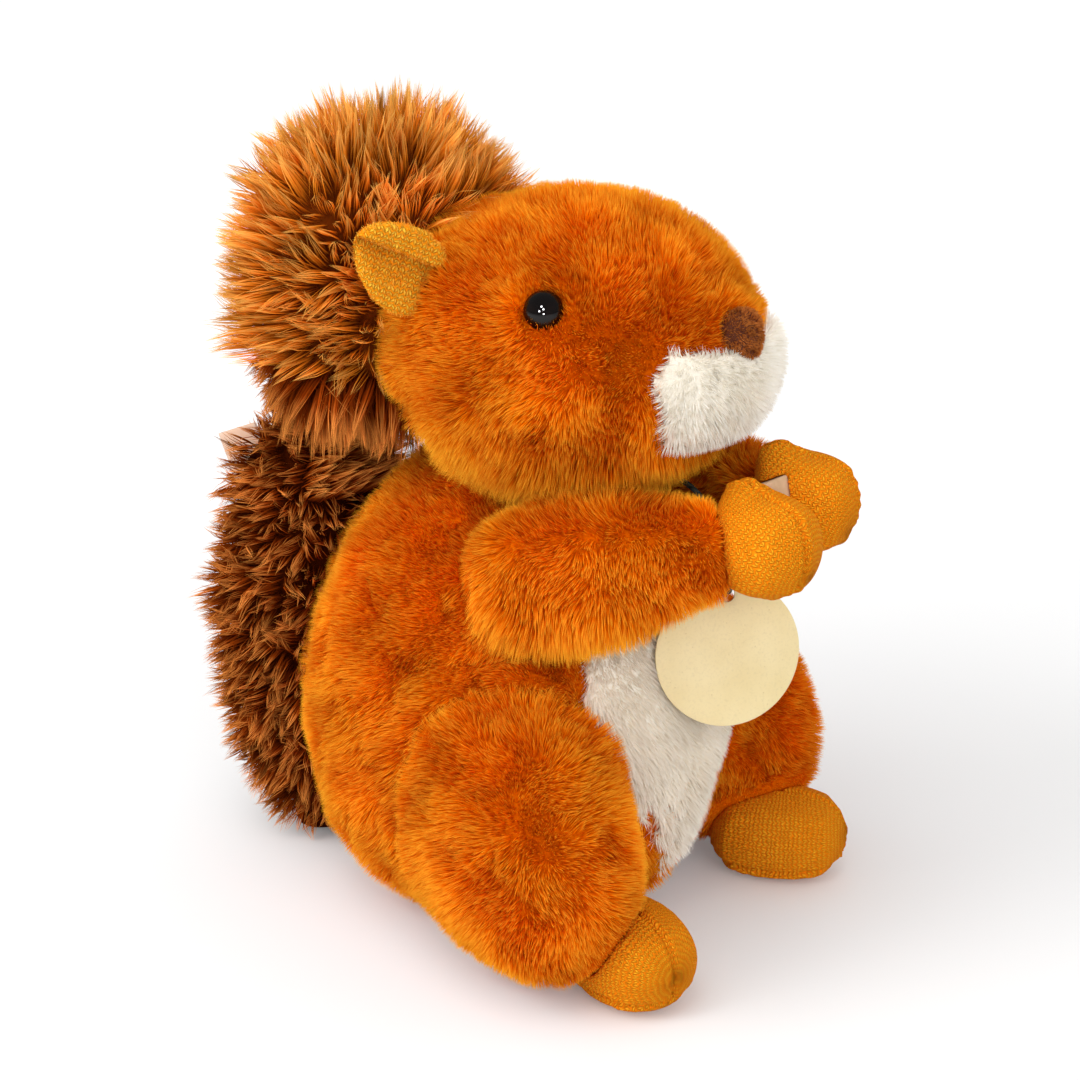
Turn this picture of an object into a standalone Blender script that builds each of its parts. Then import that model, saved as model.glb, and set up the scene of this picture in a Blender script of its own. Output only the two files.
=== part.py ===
"""A sitting plush squirrel with a two-lobed spiky tail, knitted paws and feet, and a round hang tag.

Units are metres, +Z is up, and the squirrel faces -Y. Its underside is flat at z = 0.
The stuffed pieces are cushions made from one rounded cube. Where two of them meet, the later
piece is carved by a slightly grown copy of the earlier one, so both keep the same seam gap.
"""
import math
import random

import bmesh
import bpy
from mathutils import Euler, Matrix, Vector

SEAM_GAP = 0.0003            # clearance between neighbouring pieces
GROUND = 0.0                 # height of the surface that the toy sits on

# Stuffed pieces: centre, and half of the width (x), depth (y) and height (z)
TORSO_CENTRE = Vector((0.0, 0.009, 0.063))
TORSO_HALF = Vector((0.058, 0.059, 0.075))
TORSO_PEAR = 0.12            # how much narrower the shoulders are than the seat
TORSO_FULLNESS = 0.03
HEAD_CENTRE = Vector((0.0, -0.011, 0.165))
HEAD_HALF = Vector((0.0515, 0.0495, 0.0400))
CHEEK_FILL = 0.10            # how much wider the cheeks are, and how far up and down that reaches
CHEEK_REACH = 0.6
CHEEK_DROP = 0.3
MUZZLE_CENTRE = Vector((0.0, -0.046, 0.1602))
MUZZLE_HALF = Vector((0.0310, 0.0208, 0.0192))
MUZZLE_FULLNESS = 0.30       # toward a cube, so that it wraps both cheeks
MUZZLE_FLARE = 0.14          # how much wider its top is than its middle
MUZZLE_DIP = 0.46            # how far its top sinks under the nose, as a share of its height
NOSE_CENTRE = Vector((0.0, -0.0598, 0.1706))
NOSE_HALF = Vector((0.0092, 0.0062, 0.0076))
NOSE_FULLNESS = 0.10
NOSE_WIDTH = 0.82            # its width half way up, and how much wider it is at the top
NOSE_FLARE = 0.30
BELLY_CENTRE = Vector((0.0, -0.033, 0.062))
BELLY_HALF = Vector((0.039, 0.0203, 0.053))
BELLY_POINT = 0.45           # how much narrower its lower end is, and how late it narrows
BELLY_POINT_CURVE = 1.5
THIGH_CENTRE = Vector((0.0455, -0.021, 0.0415))
THIGH_HALF = Vector((0.0275, 0.0420, 0.0405))
THIGH_FULLNESS = 0.06
THIGH_SPLAY = math.radians(25)
THIGH_SLIDE = 0.13           # how far its lower half slides forward, as a share of its depth
FOOT_CENTRE = Vector((0.0425, -0.0565, 0.0120))
FOOT_HALF = Vector((0.0155, 0.0205, 0.0135))
FOOT_FULLNESS = 0.14
FOOT_SPLAY = math.radians(22)
FOOT_TUCK = 0.0025           # the right foot is tucked under the thigh by this much more
SHOULDER = Vector((0.042, -0.012, 0.110))
WRIST = Vector((0.021, -0.065, 0.120))
ARM_HALF = Vector((0.0175, 0.037, 0.0190))
ARM_FULLNESS = 0.12
ARM_TAPER = 0.12             # how much thinner it is at the wrist
PAW_CENTRE = Vector((0.0142, -0.0755, 0.1235))
PAW_LIFT = Vector((0.0, 0.0012, 0.0018))    # the left paw is held this much nearer and higher
PAW_HALF = Vector((0.0138, 0.0142, 0.0135))
PAW_FULLNESS = 0.12
PAW_TURN = math.radians(16)
THUMB_TOWARD = Vector((0.0, 0.50, 0.86))    # from the middle of the paw, on its wrist side
THUMB_RISE = 0.34            # how far the thumb stands out, as a share of the paw
THUMB_SPREAD = 0.09
NOTCH_TOWARD = Vector((0.0, 0.02, 1.0))     # the dip between the thumb and the mitten
NOTCH_SINK = 0.13
NOTCH_SPREAD = 0.05

# Ears: thin folded leaves that stand out and back from the crown
EAR_CENTRE = Vector((0.0455, 0.0130, 0.1892))
EAR_DROP = 0.0040            # the left ear is sewn on lower by this much
EAR_HALF = Vector((0.0115, 0.0045, 0.0150))
EAR_LEAN = Vector((0.62, 0.46, 0.64))
EAR_FACING = Vector((0.62, -0.76, 0.20))
EAR_HOLLOW = 0.0050          # depth of the fold in the front of the ear
EAR_NARROW = 0.25            # how much narrower its tip is
EAR_FOLD = 0.50              # how steeply its two halves fold in toward each other

# Safety eyes: a glossy dome on a post, held by a washer inside the head
EYE_DIAMETER = 0.0104
EYE_DOME = 0.0042            # height of the dome above its seat
EYE_FORWARD = Vector((0.869, -0.336, 0.364))
EYE_POST = 0.0030            # diameter of the post
EYE_POST_LENGTH = 0.0110
EYE_STEPS = 18
DOME_STEPS = 5
EYE_SEAT_DEPTH = 0.0009      # the dome is let in below the pile by this much
WASHER_DIAMETER = 0.0086
WASHER_THICKNESS = 0.0012
WASHER_DEPTH = 0.0070        # how far under the dome's seat the washer grips the post

# Tail: two pointed-pile lobes that meet at a pinch behind the neck
TAIL_PINCH = 0.1365
TAIL_TOP_CENTRE = Vector((0.0, 0.053, 0.175))
TAIL_TOP_HALF = Vector((0.041, 0.030, 0.041))
TAIL_TOP_FULLNESS = 0.10
TAIL_TOP_CURL = 0.30         # how far its foot slides back, as a share of its depth
TAIL_TOP_COMB = Vector((0.0, 0.3, 0.5))
TAIL_TOP_LOCK = 0.0135       # length of the longest locks of the upper lobe
TAIL_LOW_CENTRE = Vector((0.0, 0.081, 0.066))
TAIL_LOW_NECK = 0.28         # how much the lower lobe narrows toward both ends
TAIL_LOW_TUCK = 0.30         # how far its ends bend forward, as a share of its depth
TAIL_LOW_HALF = Vector((0.028, 0.0245, 0.073))
TAIL_LOW_FULLNESS = 0.14
TAIL_LOW_COMB = Vector((0.0, 0.2, -0.9))
TAIL_LOW_LOCK = 0.0085
LOCK_SEED = 11
LOCK_SCATTER = 0.08          # how far the roots of the locks stray, as a share of their length
LOCK_SHORTEST = 0.55         # the shortest lock, as a share of the longest
LOCK_SWAY = 0.22             # how much each lock leans its own way
LOCK_COMB = 0.55             # how much all of them lean along the comb

# Hang tag on its neck cord
TAG_CENTRE = Vector((-0.0063, -0.0630, 0.0865))
TAG_RADIUS = 0.0200
TAG_STEPS = 28
TAG_THICKNESS = 0.0006
TAG_HOLE_RADIUS = 0.0020
TAG_HOLE_INSET = 0.0040      # from the rim of the card to the middle of its hole
TAG_TURN = math.radians(-45)
TAG_LEAN = math.radians(-8)
CORD_DIAMETER = 0.0015
CORD_SPACING = 0.0040        # from one point of the finished tube to the next
CORD_ROUTE = (
    (-0.0050, 0.0247, 0.1357),
    (-0.0098, 0.0230, 0.1352),
    (-0.0145, 0.0204, 0.1345),
    (-0.0192, 0.0171, 0.1334),
    (-0.0226, 0.0120, 0.1321),
    (-0.0245, 0.0060, 0.1310),
    (-0.0247, -0.0007, 0.1297),
    (-0.0234, -0.0075, 0.1282),
    (-0.0199, -0.0140, 0.1270),
    (-0.0160, -0.0280, 0.1264),
    (-0.0110, -0.0415, 0.1250),
    (-0.0084, -0.0522, 0.1204),
    (-0.0078, -0.0602, 0.1140),
    (-0.0066, -0.0633, 0.1073),
    (-0.0057, -0.0624, 0.1037),
    (-0.0047, -0.0614, 0.1032),
    (-0.0036, -0.0603, 0.1033),
    (-0.0021, -0.0588, 0.1064),
    (0.0003, -0.0566, 0.1135),
    (0.0052, -0.0508, 0.1204),
    (0.0105, -0.0415, 0.1250),
    (0.0160, -0.0280, 0.1264),
    (0.0199, -0.0140, 0.1270),
    (0.0234, -0.0075, 0.1282),
    (0.0247, -0.0007, 0.1297),
    (0.0245, 0.0060, 0.1310),
    (0.0226, 0.0120, 0.1321),
    (0.0192, 0.0171, 0.1334),
    (0.0145, 0.0204, 0.1345),
    (0.0098, 0.0230, 0.1352),
    (0.0050, 0.0247, 0.1357),
)

# Care label in the tail seam, and the nut between the paws
LABEL_WIDTH = 0.0150
LABEL_DROP = 0.0190
LABEL_THICKNESS = 0.0007
LABEL_BELOW = 0.0215         # from the pinch of the tail down to the middle of the label
LABEL_PLACE = Vector((-0.010, 0.0960, TAIL_PINCH - LABEL_BELOW))
LABEL_CORNER = 0.0060        # side of the corner that is folded away
LABEL_TILT = math.radians(-22)
NUT_PLACE = Vector((0.0010, -0.0705, 0.1262))
NUT_RADIUS = 0.0072
NUT_HEIGHT = 0.0140
NUT_SIDES = 6
NUT_TAPER = 0.86
NUT_TURN = (math.radians(-24), math.radians(12), math.radians(20))

COARSE, MEDIUM, FINE = 5, 6, 8   # how many cuts each edge of the starting cube gets
BLOCK_SIZE = 0.5                 # side of the large block that trims a piece to a level

FUR = ((0.578, 0.117, 0.007, 1.0), 0.90, 0.0)
KNIT = ((0.752, 0.262, 0.020, 1.0), 0.85, 0.0)
EAR_CLOTH = ((0.87, 0.36, 0.06, 1.0), 0.88, 0.0)
WHITE_PLUSH = ((0.90, 0.86, 0.78, 1.0), 0.90, 0.0)
NOSE_FELT = ((0.200, 0.075, 0.040, 1.0), 0.85, 0.0)
TAIL_TOP_FUR = ((0.430, 0.170, 0.060, 1.0), 0.90, 0.0)
TAIL_LOW_FUR = ((0.210, 0.050, 0.016, 1.0), 0.90, 0.0)
EYE_BLACK = ((0.006, 0.004, 0.004, 1.0), 0.06, 0.0)
WASHER_WHITE = ((0.75, 0.75, 0.72, 1.0), 0.45, 0.0)
CARD = ((0.800, 0.680, 0.400, 1.0), 0.60, 0.0)
CORD_GREEN = ((0.050, 0.065, 0.050, 1.0), 0.80, 0.0)
LABEL_SATIN = ((0.760, 0.480, 0.330, 1.0), 0.45, 0.0)
NUT_BEIGE = ((0.600, 0.400, 0.230, 1.0), 0.75, 0.0)


def clear_scene():
    for item in list(bpy.data.objects):
        bpy.data.objects.remove(item, do_unlink=True)


def material(name, finish):
    colour, roughness, metallic = finish
    made = bpy.data.materials.new(name)
    made.use_nodes = True
    shader = made.node_tree.nodes["Principled BSDF"]
    shader.inputs["Base Color"].default_value = colour
    shader.inputs["Roughness"].default_value = roughness
    shader.inputs["Metallic"].default_value = metallic
    made.diffuse_color = colour
    return made


def to_object(name, bm, smooth=True):
    """Turn a bmesh into an object of this name, with its faces outward."""
    bmesh.ops.recalc_face_normals(bm, faces=bm.faces)
    mesh = bpy.data.meshes.new(name)
    bm.to_mesh(mesh)
    bm.free()
    for face in mesh.polygons:
        face.use_smooth = smooth
    made = bpy.data.objects.new(name, mesh)
    bpy.context.scene.collection.objects.link(made)
    return made


def finish(piece, look):
    """Give a piece its own material."""
    piece.data.materials.clear()
    piece.data.materials.append(material(piece.name, look))
    return piece


def mirrored(point, side):
    """The same point on the squirrel's left (side 1) or right (side -1)."""
    return Vector((point.x * side, point.y, point.z))


def cushion(centre, half, cuts=MEDIUM, turn=None, fullness=0.0, mould=None, grow=0.0, flat=False):
    """A stuffed shape: a cube rounded to a ball, moulded, stretched, turned and grown outward."""
    bm = bmesh.new()
    bmesh.ops.create_cube(bm, size=2.0)
    bmesh.ops.subdivide_edges(bm, edges=bm.edges, cuts=cuts, use_grid_fill=True)
    frame = turn or Matrix.Identity(3)
    for vert in bm.verts:
        boxy = vert.co.copy()
        ball = boxy.normalized().lerp(boxy, fullness)
        if mould:
            ball = mould(ball)
        stretched = Vector((ball.x * half.x, ball.y * half.y, ball.z * half.z))
        vert.co = centre + frame @ stretched
    bm.normal_update()
    if grow:
        for vert in bm.verts:
            vert.co += vert.normal * grow
    if flat:
        floor = GROUND - grow
        for vert in bm.verts:
            vert.co.z = max(vert.co.z, floor)
    return bm


def carve(piece, cutter_shape, crossing=False):
    """Cut a shape out of a piece for good, and keep the largest body that is left.

    Locks that cross each other need crossing=True, which also joins them where they meet.
    """
    cutter = to_object("cutter", cutter_shape)
    cut = piece.modifiers.new("carve", "BOOLEAN")
    cut.operation = "DIFFERENCE"
    cut.solver = "EXACT"
    cut.use_self = crossing
    cut.object = cutter
    graph = bpy.context.evaluated_depsgraph_get()
    carved = bpy.data.meshes.new_from_object(piece.evaluated_get(graph))
    piece.modifiers.remove(cut)
    piece.data = carved
    bpy.data.objects.remove(cutter, do_unlink=True)
    keep_largest(piece)


def keep_largest(piece):
    """Delete loose scraps, such as the tip of a lock that a cut has parted from its root."""
    bm = bmesh.new()
    bm.from_mesh(piece.data)
    unseen = set(bm.faces)
    bodies = []
    while unseen:
        body = []
        front = [unseen.pop()]
        while front:
            face = front.pop()
            body.append(face)
            for edge in face.edges:
                for near in edge.link_faces:
                    if near in unseen:
                        unseen.remove(near)
                        front.append(near)
        bodies.append(body)
    bodies.sort(key=len, reverse=True)
    scraps = [face for body in bodies[1:] for face in body]
    bmesh.ops.delete(bm, geom=scraps, context="FACES")
    bmesh.ops.recalc_face_normals(bm, faces=bm.faces)
    bm.to_mesh(piece.data)
    bm.free()


# Shapes that more than one piece needs


def pear(ball):
    """Narrow the top of the torso and fill out its seat."""
    width = 1.0 - TORSO_PEAR * ball.z
    return Vector((ball.x * width, ball.y * width, ball.z))


def torso_shape(grow=0.0):
    return cushion(TORSO_CENTRE, TORSO_HALF, FINE, None, TORSO_FULLNESS, pear, grow, flat=True)


def head_shape(grow=0.0):
    return cushion(HEAD_CENTRE, HEAD_HALF, FINE, mould=face_mould, grow=grow)


def face_mould(ball):
    """Fill the cheeks low at the sides and keep the brow sloping."""
    cheek = CHEEK_FILL * max(0.0, -ball.y) * max(0.0, CHEEK_REACH - abs(ball.z + CHEEK_DROP))
    return Vector((ball.x * (1.0 + cheek), ball.y, ball.z))


def muzzle_shape(grow=0.0):
    return cushion(
        MUZZLE_CENTRE, MUZZLE_HALF, COARSE, None, MUZZLE_FULLNESS, muzzle_mould, grow
    )


def muzzle_mould(ball):
    """Run the upper corners of the muzzle up the cheeks, and sink its top under the nose."""
    dip = MUZZLE_DIP * max(0.0, ball.z) * max(0.0, 1.0 - ball.x ** 2)
    return Vector((ball.x * (1.0 + MUZZLE_FLARE * ball.z), ball.y, ball.z - dip))


def thigh_shape(side, grow=0.0):
    turn = Matrix.Rotation(side * THIGH_SPLAY, 3, "Z")
    centre = mirrored(THIGH_CENTRE, side)
    return cushion(centre, THIGH_HALF, MEDIUM, turn, THIGH_FULLNESS, haunch, grow, flat=True)


def haunch(ball):
    """Slide the lower half of the thigh forward, so that its knee bulges over the foot."""
    return Vector((ball.x, ball.y + THIGH_SLIDE * ball.z, ball.z))


def arm_turn(side):
    """Turn a cushion's -Y end from the shoulder toward the wrist."""
    reach = mirrored(WRIST, side) - mirrored(SHOULDER, side)
    return (-reach).to_track_quat("Y", "Z").to_matrix()


def arm_mould(ball):
    """Thin the arm a little toward the wrist, which is its -Y end."""
    width = 1.0 + ARM_TAPER * ball.y
    return Vector((ball.x * width, ball.y, ball.z * width))


def arm_shape(side, grow=0.0):
    middle = (mirrored(SHOULDER, side) + mirrored(WRIST, side)) / 2.0
    return cushion(middle, ARM_HALF, COARSE, arm_turn(side), ARM_FULLNESS, arm_mould, grow)


def nut_shape(grow=0.0):
    bm = bmesh.new()
    radius = NUT_RADIUS + grow
    height = NUT_HEIGHT + 2.0 * grow
    low_radius = radius * NUT_TAPER
    bmesh.ops.create_cone(
        bm, cap_ends=True, segments=NUT_SIDES, radius1=low_radius, radius2=radius, depth=height
    )
    bmesh.ops.rotate(bm, verts=bm.verts, matrix=Euler(NUT_TURN).to_matrix())
    bmesh.ops.translate(bm, verts=bm.verts, vec=NUT_PLACE)
    return bm


def half_space(height, below):
    """A large block whose face lies at this height, above or below it."""
    bm = bmesh.new()
    bmesh.ops.create_cube(bm, size=BLOCK_SIZE)
    offset = -BLOCK_SIZE / 2.0 if below else BLOCK_SIZE / 2.0
    bmesh.ops.translate(bm, verts=bm.verts, vec=(0.0, 0.0, height + offset))
    return bm


# Body, head and limbs


def build_torso():
    torso = to_object("torso", torso_shape())
    carve(torso, head_shape(SEAM_GAP))
    return finish(torso, FUR)


def build_head():
    head = to_object("head", head_shape())
    for side in (-1, 1):
        carve(head, eye_socket(side))
    return finish(head, FUR)


def belly_mould(ball):
    """Draw the white panel to a point at its lower end."""
    width = 1.0 - BELLY_POINT * max(0.0, -ball.z) ** BELLY_POINT_CURVE
    return Vector((ball.x * width, ball.y, ball.z))


def build_belly():
    belly = to_object("belly_panel", cushion(BELLY_CENTRE, BELLY_HALF, COARSE, mould=belly_mould))
    carve(belly, torso_shape(SEAM_GAP))
    for side in (-1, 1):
        carve(belly, thigh_shape(side, SEAM_GAP))
        carve(belly, arm_shape(side, SEAM_GAP))
    return finish(belly, WHITE_PLUSH)


def build_muzzle():
    muzzle = to_object("muzzle", muzzle_shape())
    carve(muzzle, head_shape(SEAM_GAP))
    return finish(muzzle, WHITE_PLUSH)


def nose_mould(ball):
    """A rounded triangle, wide at the top."""
    width = NOSE_WIDTH + NOSE_FLARE * ball.z
    return Vector((ball.x * width, ball.y, ball.z))


def build_nose():
    shape = cushion(NOSE_CENTRE, NOSE_HALF, COARSE, fullness=NOSE_FULLNESS, mould=nose_mould)
    nose = to_object("nose", shape)
    carve(nose, head_shape(SEAM_GAP))
    carve(nose, muzzle_shape(SEAM_GAP))
    return finish(nose, NOSE_FELT)


def build_thigh(side, name):
    thigh = to_object(name, thigh_shape(side))
    carve(thigh, torso_shape(SEAM_GAP))
    return finish(thigh, FUR)


def build_foot(side, name):
    turn = Matrix.Rotation(side * FOOT_SPLAY, 3, "Z")
    tuck = FOOT_TUCK if side < 0 else 0.0
    centre = mirrored(FOOT_CENTRE, side) + Vector((0.0, tuck, 0.0))
    shape = cushion(centre, FOOT_HALF, COARSE, turn, FOOT_FULLNESS, flat=True)
    foot = to_object(name, shape)
    carve(foot, thigh_shape(side, SEAM_GAP))
    return finish(foot, KNIT)


def build_arm(side, name):
    arm = to_object(name, arm_shape(side))
    carve(arm, torso_shape(SEAM_GAP))
    carve(arm, head_shape(SEAM_GAP))
    return finish(arm, FUR)


def mitten(ball):
    """Raise a stub of a thumb at the top of the paw, and dip the cloth in front of it."""
    outward = ball.normalized()
    thumb = math.exp((outward.dot(THUMB_TOWARD.normalized()) - 1.0) / THUMB_SPREAD)
    notch = math.exp((outward.dot(NOTCH_TOWARD.normalized()) - 1.0) / NOTCH_SPREAD)
    return ball * (1.0 + THUMB_RISE * thumb - NOTCH_SINK * notch)


def build_paw(side, name):
    turn = Matrix.Rotation(side * PAW_TURN, 3, "Z")
    centre = mirrored(PAW_CENTRE, side) + PAW_LIFT * side
    paw = to_object(name, cushion(centre, PAW_HALF, FINE, turn, PAW_FULLNESS, mitten))
    carve(paw, arm_shape(side, SEAM_GAP))
    carve(paw, nut_shape(SEAM_GAP))
    return finish(paw, KNIT)


def build_ear(side, name):
    """A thin folded leaf: a flat cushion with a fold pressed along the middle of its front."""
    lean = mirrored(EAR_LEAN, side).normalized()
    facing = mirrored(EAR_FACING, side)
    facing = (facing - lean * facing.dot(lean)).normalized()
    across = lean.cross(facing)
    turn = Matrix((across, -facing, lean)).transposed()
    if turn.determinant() < 0.0:
        turn = Matrix((-across, -facing, lean)).transposed()

    def cup(ball):
        rim = 1.0 - ball.x ** 2 - ball.z ** 2
        pressed = ball.y
        if ball.y < 0.0:
            fold = max(0.0, 1.0 - EAR_FOLD * abs(ball.x))
            pressed += EAR_HOLLOW / EAR_HALF.y * max(0.0, rim) * fold
        narrow = 1.0 - EAR_NARROW * max(0.0, ball.z)
        return Vector((ball.x * narrow, pressed, ball.z))

    drop = EAR_DROP if side > 0 else 0.0
    centre = mirrored(EAR_CENTRE, side) - Vector((0.0, 0.0, drop))
    ear = to_object(name, cushion(centre, EAR_HALF, COARSE, turn, mould=cup))
    carve(ear, head_shape(SEAM_GAP))
    return finish(ear, EAR_CLOTH)


# Safety eyes


def eye_seat(side):
    """The point on the head where the dome sits, and the direction that it looks in."""
    outward = mirrored(EYE_FORWARD, side).normalized()
    scaled = Vector((outward.x / HEAD_HALF.x, outward.y / HEAD_HALF.y, outward.z / HEAD_HALF.z))
    reach = 1.0 / scaled.length
    point = mirrored(HEAD_CENTRE, side) + outward * reach
    normal = Vector(
        (outward.x / HEAD_HALF.x**2, outward.y / HEAD_HALF.y**2, outward.z / HEAD_HALF.z**2)
    ).normalized()
    return point, normal


def turned(profile, side, steps=EYE_STEPS):
    """Spin a profile of (radius, height) points about the eye's own axis."""
    bm = bmesh.new()
    verts = [bm.verts.new((radius, 0.0, height)) for radius, height in profile]
    edges = [bm.edges.new(pair) for pair in zip(verts, verts[1:])]
    bmesh.ops.spin(
        bm,
        geom=verts + edges,
        cent=(0.0, 0.0, 0.0),
        axis=(0.0, 0.0, 1.0),
        angle=math.tau,
        steps=steps,
        use_merge=False,
    )
    bmesh.ops.remove_doubles(bm, verts=bm.verts, dist=1e-6)
    point, normal = eye_seat(side)
    turn = normal.to_track_quat("Z", "Y").to_matrix()
    bmesh.ops.rotate(bm, verts=bm.verts, matrix=turn)
    bmesh.ops.translate(bm, verts=bm.verts, vec=point)
    bmesh.ops.recalc_face_normals(bm, faces=bm.faces)
    return bm


def eye_profile():
    radius = EYE_DIAMETER / 2.0
    seat = -EYE_SEAT_DEPTH
    arc = [
        (radius * math.cos(turn), seat + EYE_DOME * math.sin(turn))
        for turn in (math.pi / 2.0 * step / DOME_STEPS for step in range(DOME_STEPS + 1))
    ]
    arc[-1] = (0.0, seat + EYE_DOME)
    post = EYE_POST / 2.0
    foot = seat - EYE_POST_LENGTH
    return [(0.0, foot), (post, foot), (post, seat)] + arc


def washer_profile():
    inner = EYE_POST / 2.0 + SEAM_GAP
    outer = WASHER_DIAMETER / 2.0
    top = -EYE_SEAT_DEPTH - WASHER_DEPTH
    low = top - WASHER_THICKNESS
    return [(inner, low), (outer, low), (outer, top), (inner, top), (inner, low)]


def eye_socket(side):
    """A stepped bore: the dome's seat, the washer's room, and a blind hole for the post."""
    seat = -EYE_SEAT_DEPTH - SEAM_GAP
    washer_floor = -EYE_SEAT_DEPTH - WASHER_DEPTH - WASHER_THICKNESS - SEAM_GAP
    hole_floor = -EYE_SEAT_DEPTH - EYE_POST_LENGTH - SEAM_GAP
    dome = EYE_DIAMETER / 2.0 + SEAM_GAP
    washer = WASHER_DIAMETER / 2.0 + SEAM_GAP
    post = EYE_POST / 2.0 + SEAM_GAP
    above = EYE_DOME + SEAM_GAP
    profile = [(0.0, hole_floor), (post, hole_floor), (post, washer_floor), (washer, washer_floor)]
    profile += [(washer, seat), (dome, seat), (dome, above), (0.0, above)]
    return turned(profile, side)


def build_eye(side, name):
    return finish(to_object(name, turned(eye_profile(), side)), EYE_BLACK)


def build_washer(side, name):
    return finish(to_object(name, turned(washer_profile(), side)), WASHER_WHITE)


# Tail


def spiky(bm, lock, comb, seed):
    """Raise a pointed lock on each face, longer or shorter by chance, leaning along the comb."""
    chance = random.Random(seed)
    for vert in bm.verts:
        vert.co += Vector([chance.uniform(-1.0, 1.0) for _ in range(3)]) * lock * LOCK_SCATTER
    faces = list(bm.faces)
    made = bmesh.ops.poke(bm, faces=faces, offset=0.0)
    bm.normal_update()
    for tip in made["verts"]:
        length = lock * chance.uniform(LOCK_SHORTEST, 1.0)
        sway = Vector([chance.uniform(-1.0, 1.0) for _ in range(3)]) * LOCK_SWAY
        tip.co += (tip.normal + comb * LOCK_COMB + sway).normalized() * length
    return bm


def tail_neck(ball):
    """Narrow both ends of the lower lobe, and bend them forward to the body."""
    width = 1.0 - TAIL_LOW_NECK * ball.z**2
    tucked = TAIL_LOW_TUCK * ball.z**2
    return Vector((ball.x * width, ball.y * width - tucked, ball.z))


def tail_curl(ball):
    """Slide the foot of the upper lobe back over the lower one, so that the tail curls."""
    return Vector((ball.x, ball.y + TAIL_TOP_CURL * max(0.0, -ball.z) ** 2, ball.z))


def build_tail_low():
    shape = cushion(
        TAIL_LOW_CENTRE, TAIL_LOW_HALF, MEDIUM, fullness=TAIL_LOW_FULLNESS, mould=tail_neck
    )
    tail = to_object("tail_lower", spiky(shape, TAIL_LOW_LOCK, TAIL_LOW_COMB, LOCK_SEED))
    carve(tail, torso_shape(SEAM_GAP), crossing=True)
    carve(tail, half_space(TAIL_PINCH - SEAM_GAP / 2.0, below=False))
    carve(tail, half_space(GROUND, below=True))
    carve(tail, label_shape(SEAM_GAP))
    return finish(tail, TAIL_LOW_FUR)


def build_tail_top():
    shape = cushion(
        TAIL_TOP_CENTRE, TAIL_TOP_HALF, FINE, fullness=TAIL_TOP_FULLNESS, mould=tail_curl
    )
    tail = to_object("tail_upper", spiky(shape, TAIL_TOP_LOCK, TAIL_TOP_COMB, LOCK_SEED + 1))
    carve(tail, head_shape(SEAM_GAP), crossing=True)
    carve(tail, torso_shape(SEAM_GAP))
    carve(tail, half_space(TAIL_PINCH + SEAM_GAP / 2.0, below=True))
    return finish(tail, TAIL_TOP_FUR)


# Label, nut, tag and cord


def tag_frame():
    """The card's own axes: across it, out of its printed face, and up along it."""
    return Matrix.Rotation(TAG_TURN, 3, "Z") @ Matrix.Rotation(TAG_LEAN, 3, "X")


def tag_hole():
    """The middle of the hole near the top of the card."""
    up = tag_frame() @ Vector((0.0, 0.0, 1.0))
    return TAG_CENTRE + up * (TAG_RADIUS - TAG_HOLE_INSET)


def build_tag():
    """A round card with a hole: two circles bridged into a flat ring, then given its thickness."""
    bm = bmesh.new()
    rim = bmesh.ops.create_circle(bm, segments=TAG_STEPS, radius=TAG_RADIUS)["verts"]
    hole = bmesh.ops.create_circle(bm, segments=TAG_STEPS, radius=TAG_HOLE_RADIUS)["verts"]
    bmesh.ops.translate(bm, verts=hole, vec=(0.0, TAG_RADIUS - TAG_HOLE_INSET, 0.0))
    bmesh.ops.bridge_loops(bm, edges=bm.edges)
    card = list(bm.faces)
    lifted = bmesh.ops.extrude_face_region(bm, geom=card)
    moved = [item for item in lifted["geom"] if isinstance(item, bmesh.types.BMVert)]
    bmesh.ops.translate(bm, verts=moved, vec=(0.0, 0.0, TAG_THICKNESS))
    bmesh.ops.translate(bm, verts=bm.verts, vec=(0.0, 0.0, -TAG_THICKNESS / 2.0))
    upright = Matrix.Rotation(math.radians(90), 3, "X")
    bmesh.ops.rotate(bm, verts=bm.verts, matrix=tag_frame() @ upright)
    bmesh.ops.translate(bm, verts=bm.verts, vec=TAG_CENTRE)
    return finish(to_object("hang_tag", bm, smooth=False), CARD)


def label_shape(grow=0.0):
    """A flat strip of folded satin with one corner turned away."""
    bm = bmesh.new()
    half_width = LABEL_WIDTH / 2.0
    half_drop = LABEL_DROP / 2.0
    outline = [
        (-half_width, -half_drop),
        (half_width - LABEL_CORNER, -half_drop),
        (half_width, -half_drop + LABEL_CORNER),
        (half_width, half_drop),
        (-half_width, half_drop),
    ]
    if grow:
        outline = [(y + math.copysign(grow, y), z + math.copysign(grow, z)) for y, z in outline]
    thick = LABEL_THICKNESS + 2.0 * grow
    verts = [bm.verts.new((-thick / 2.0, y, z)) for y, z in outline]
    face = bm.faces.new(verts)
    lifted = bmesh.ops.extrude_face_region(bm, geom=[face])
    moved = [item for item in lifted["geom"] if isinstance(item, bmesh.types.BMVert)]
    bmesh.ops.translate(bm, verts=moved, vec=(thick, 0.0, 0.0))
    bmesh.ops.rotate(bm, verts=bm.verts, matrix=Matrix.Rotation(LABEL_TILT, 3, "X"))
    bmesh.ops.translate(bm, verts=bm.verts, vec=LABEL_PLACE)
    bmesh.ops.recalc_face_normals(bm, faces=bm.faces)
    return bm


def build_label():
    return finish(to_object("care_label", label_shape(), smooth=False), LABEL_SATIN)


def build_nut():
    return finish(to_object("nut", nut_shape(), smooth=False), NUT_BEIGE)


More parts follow.
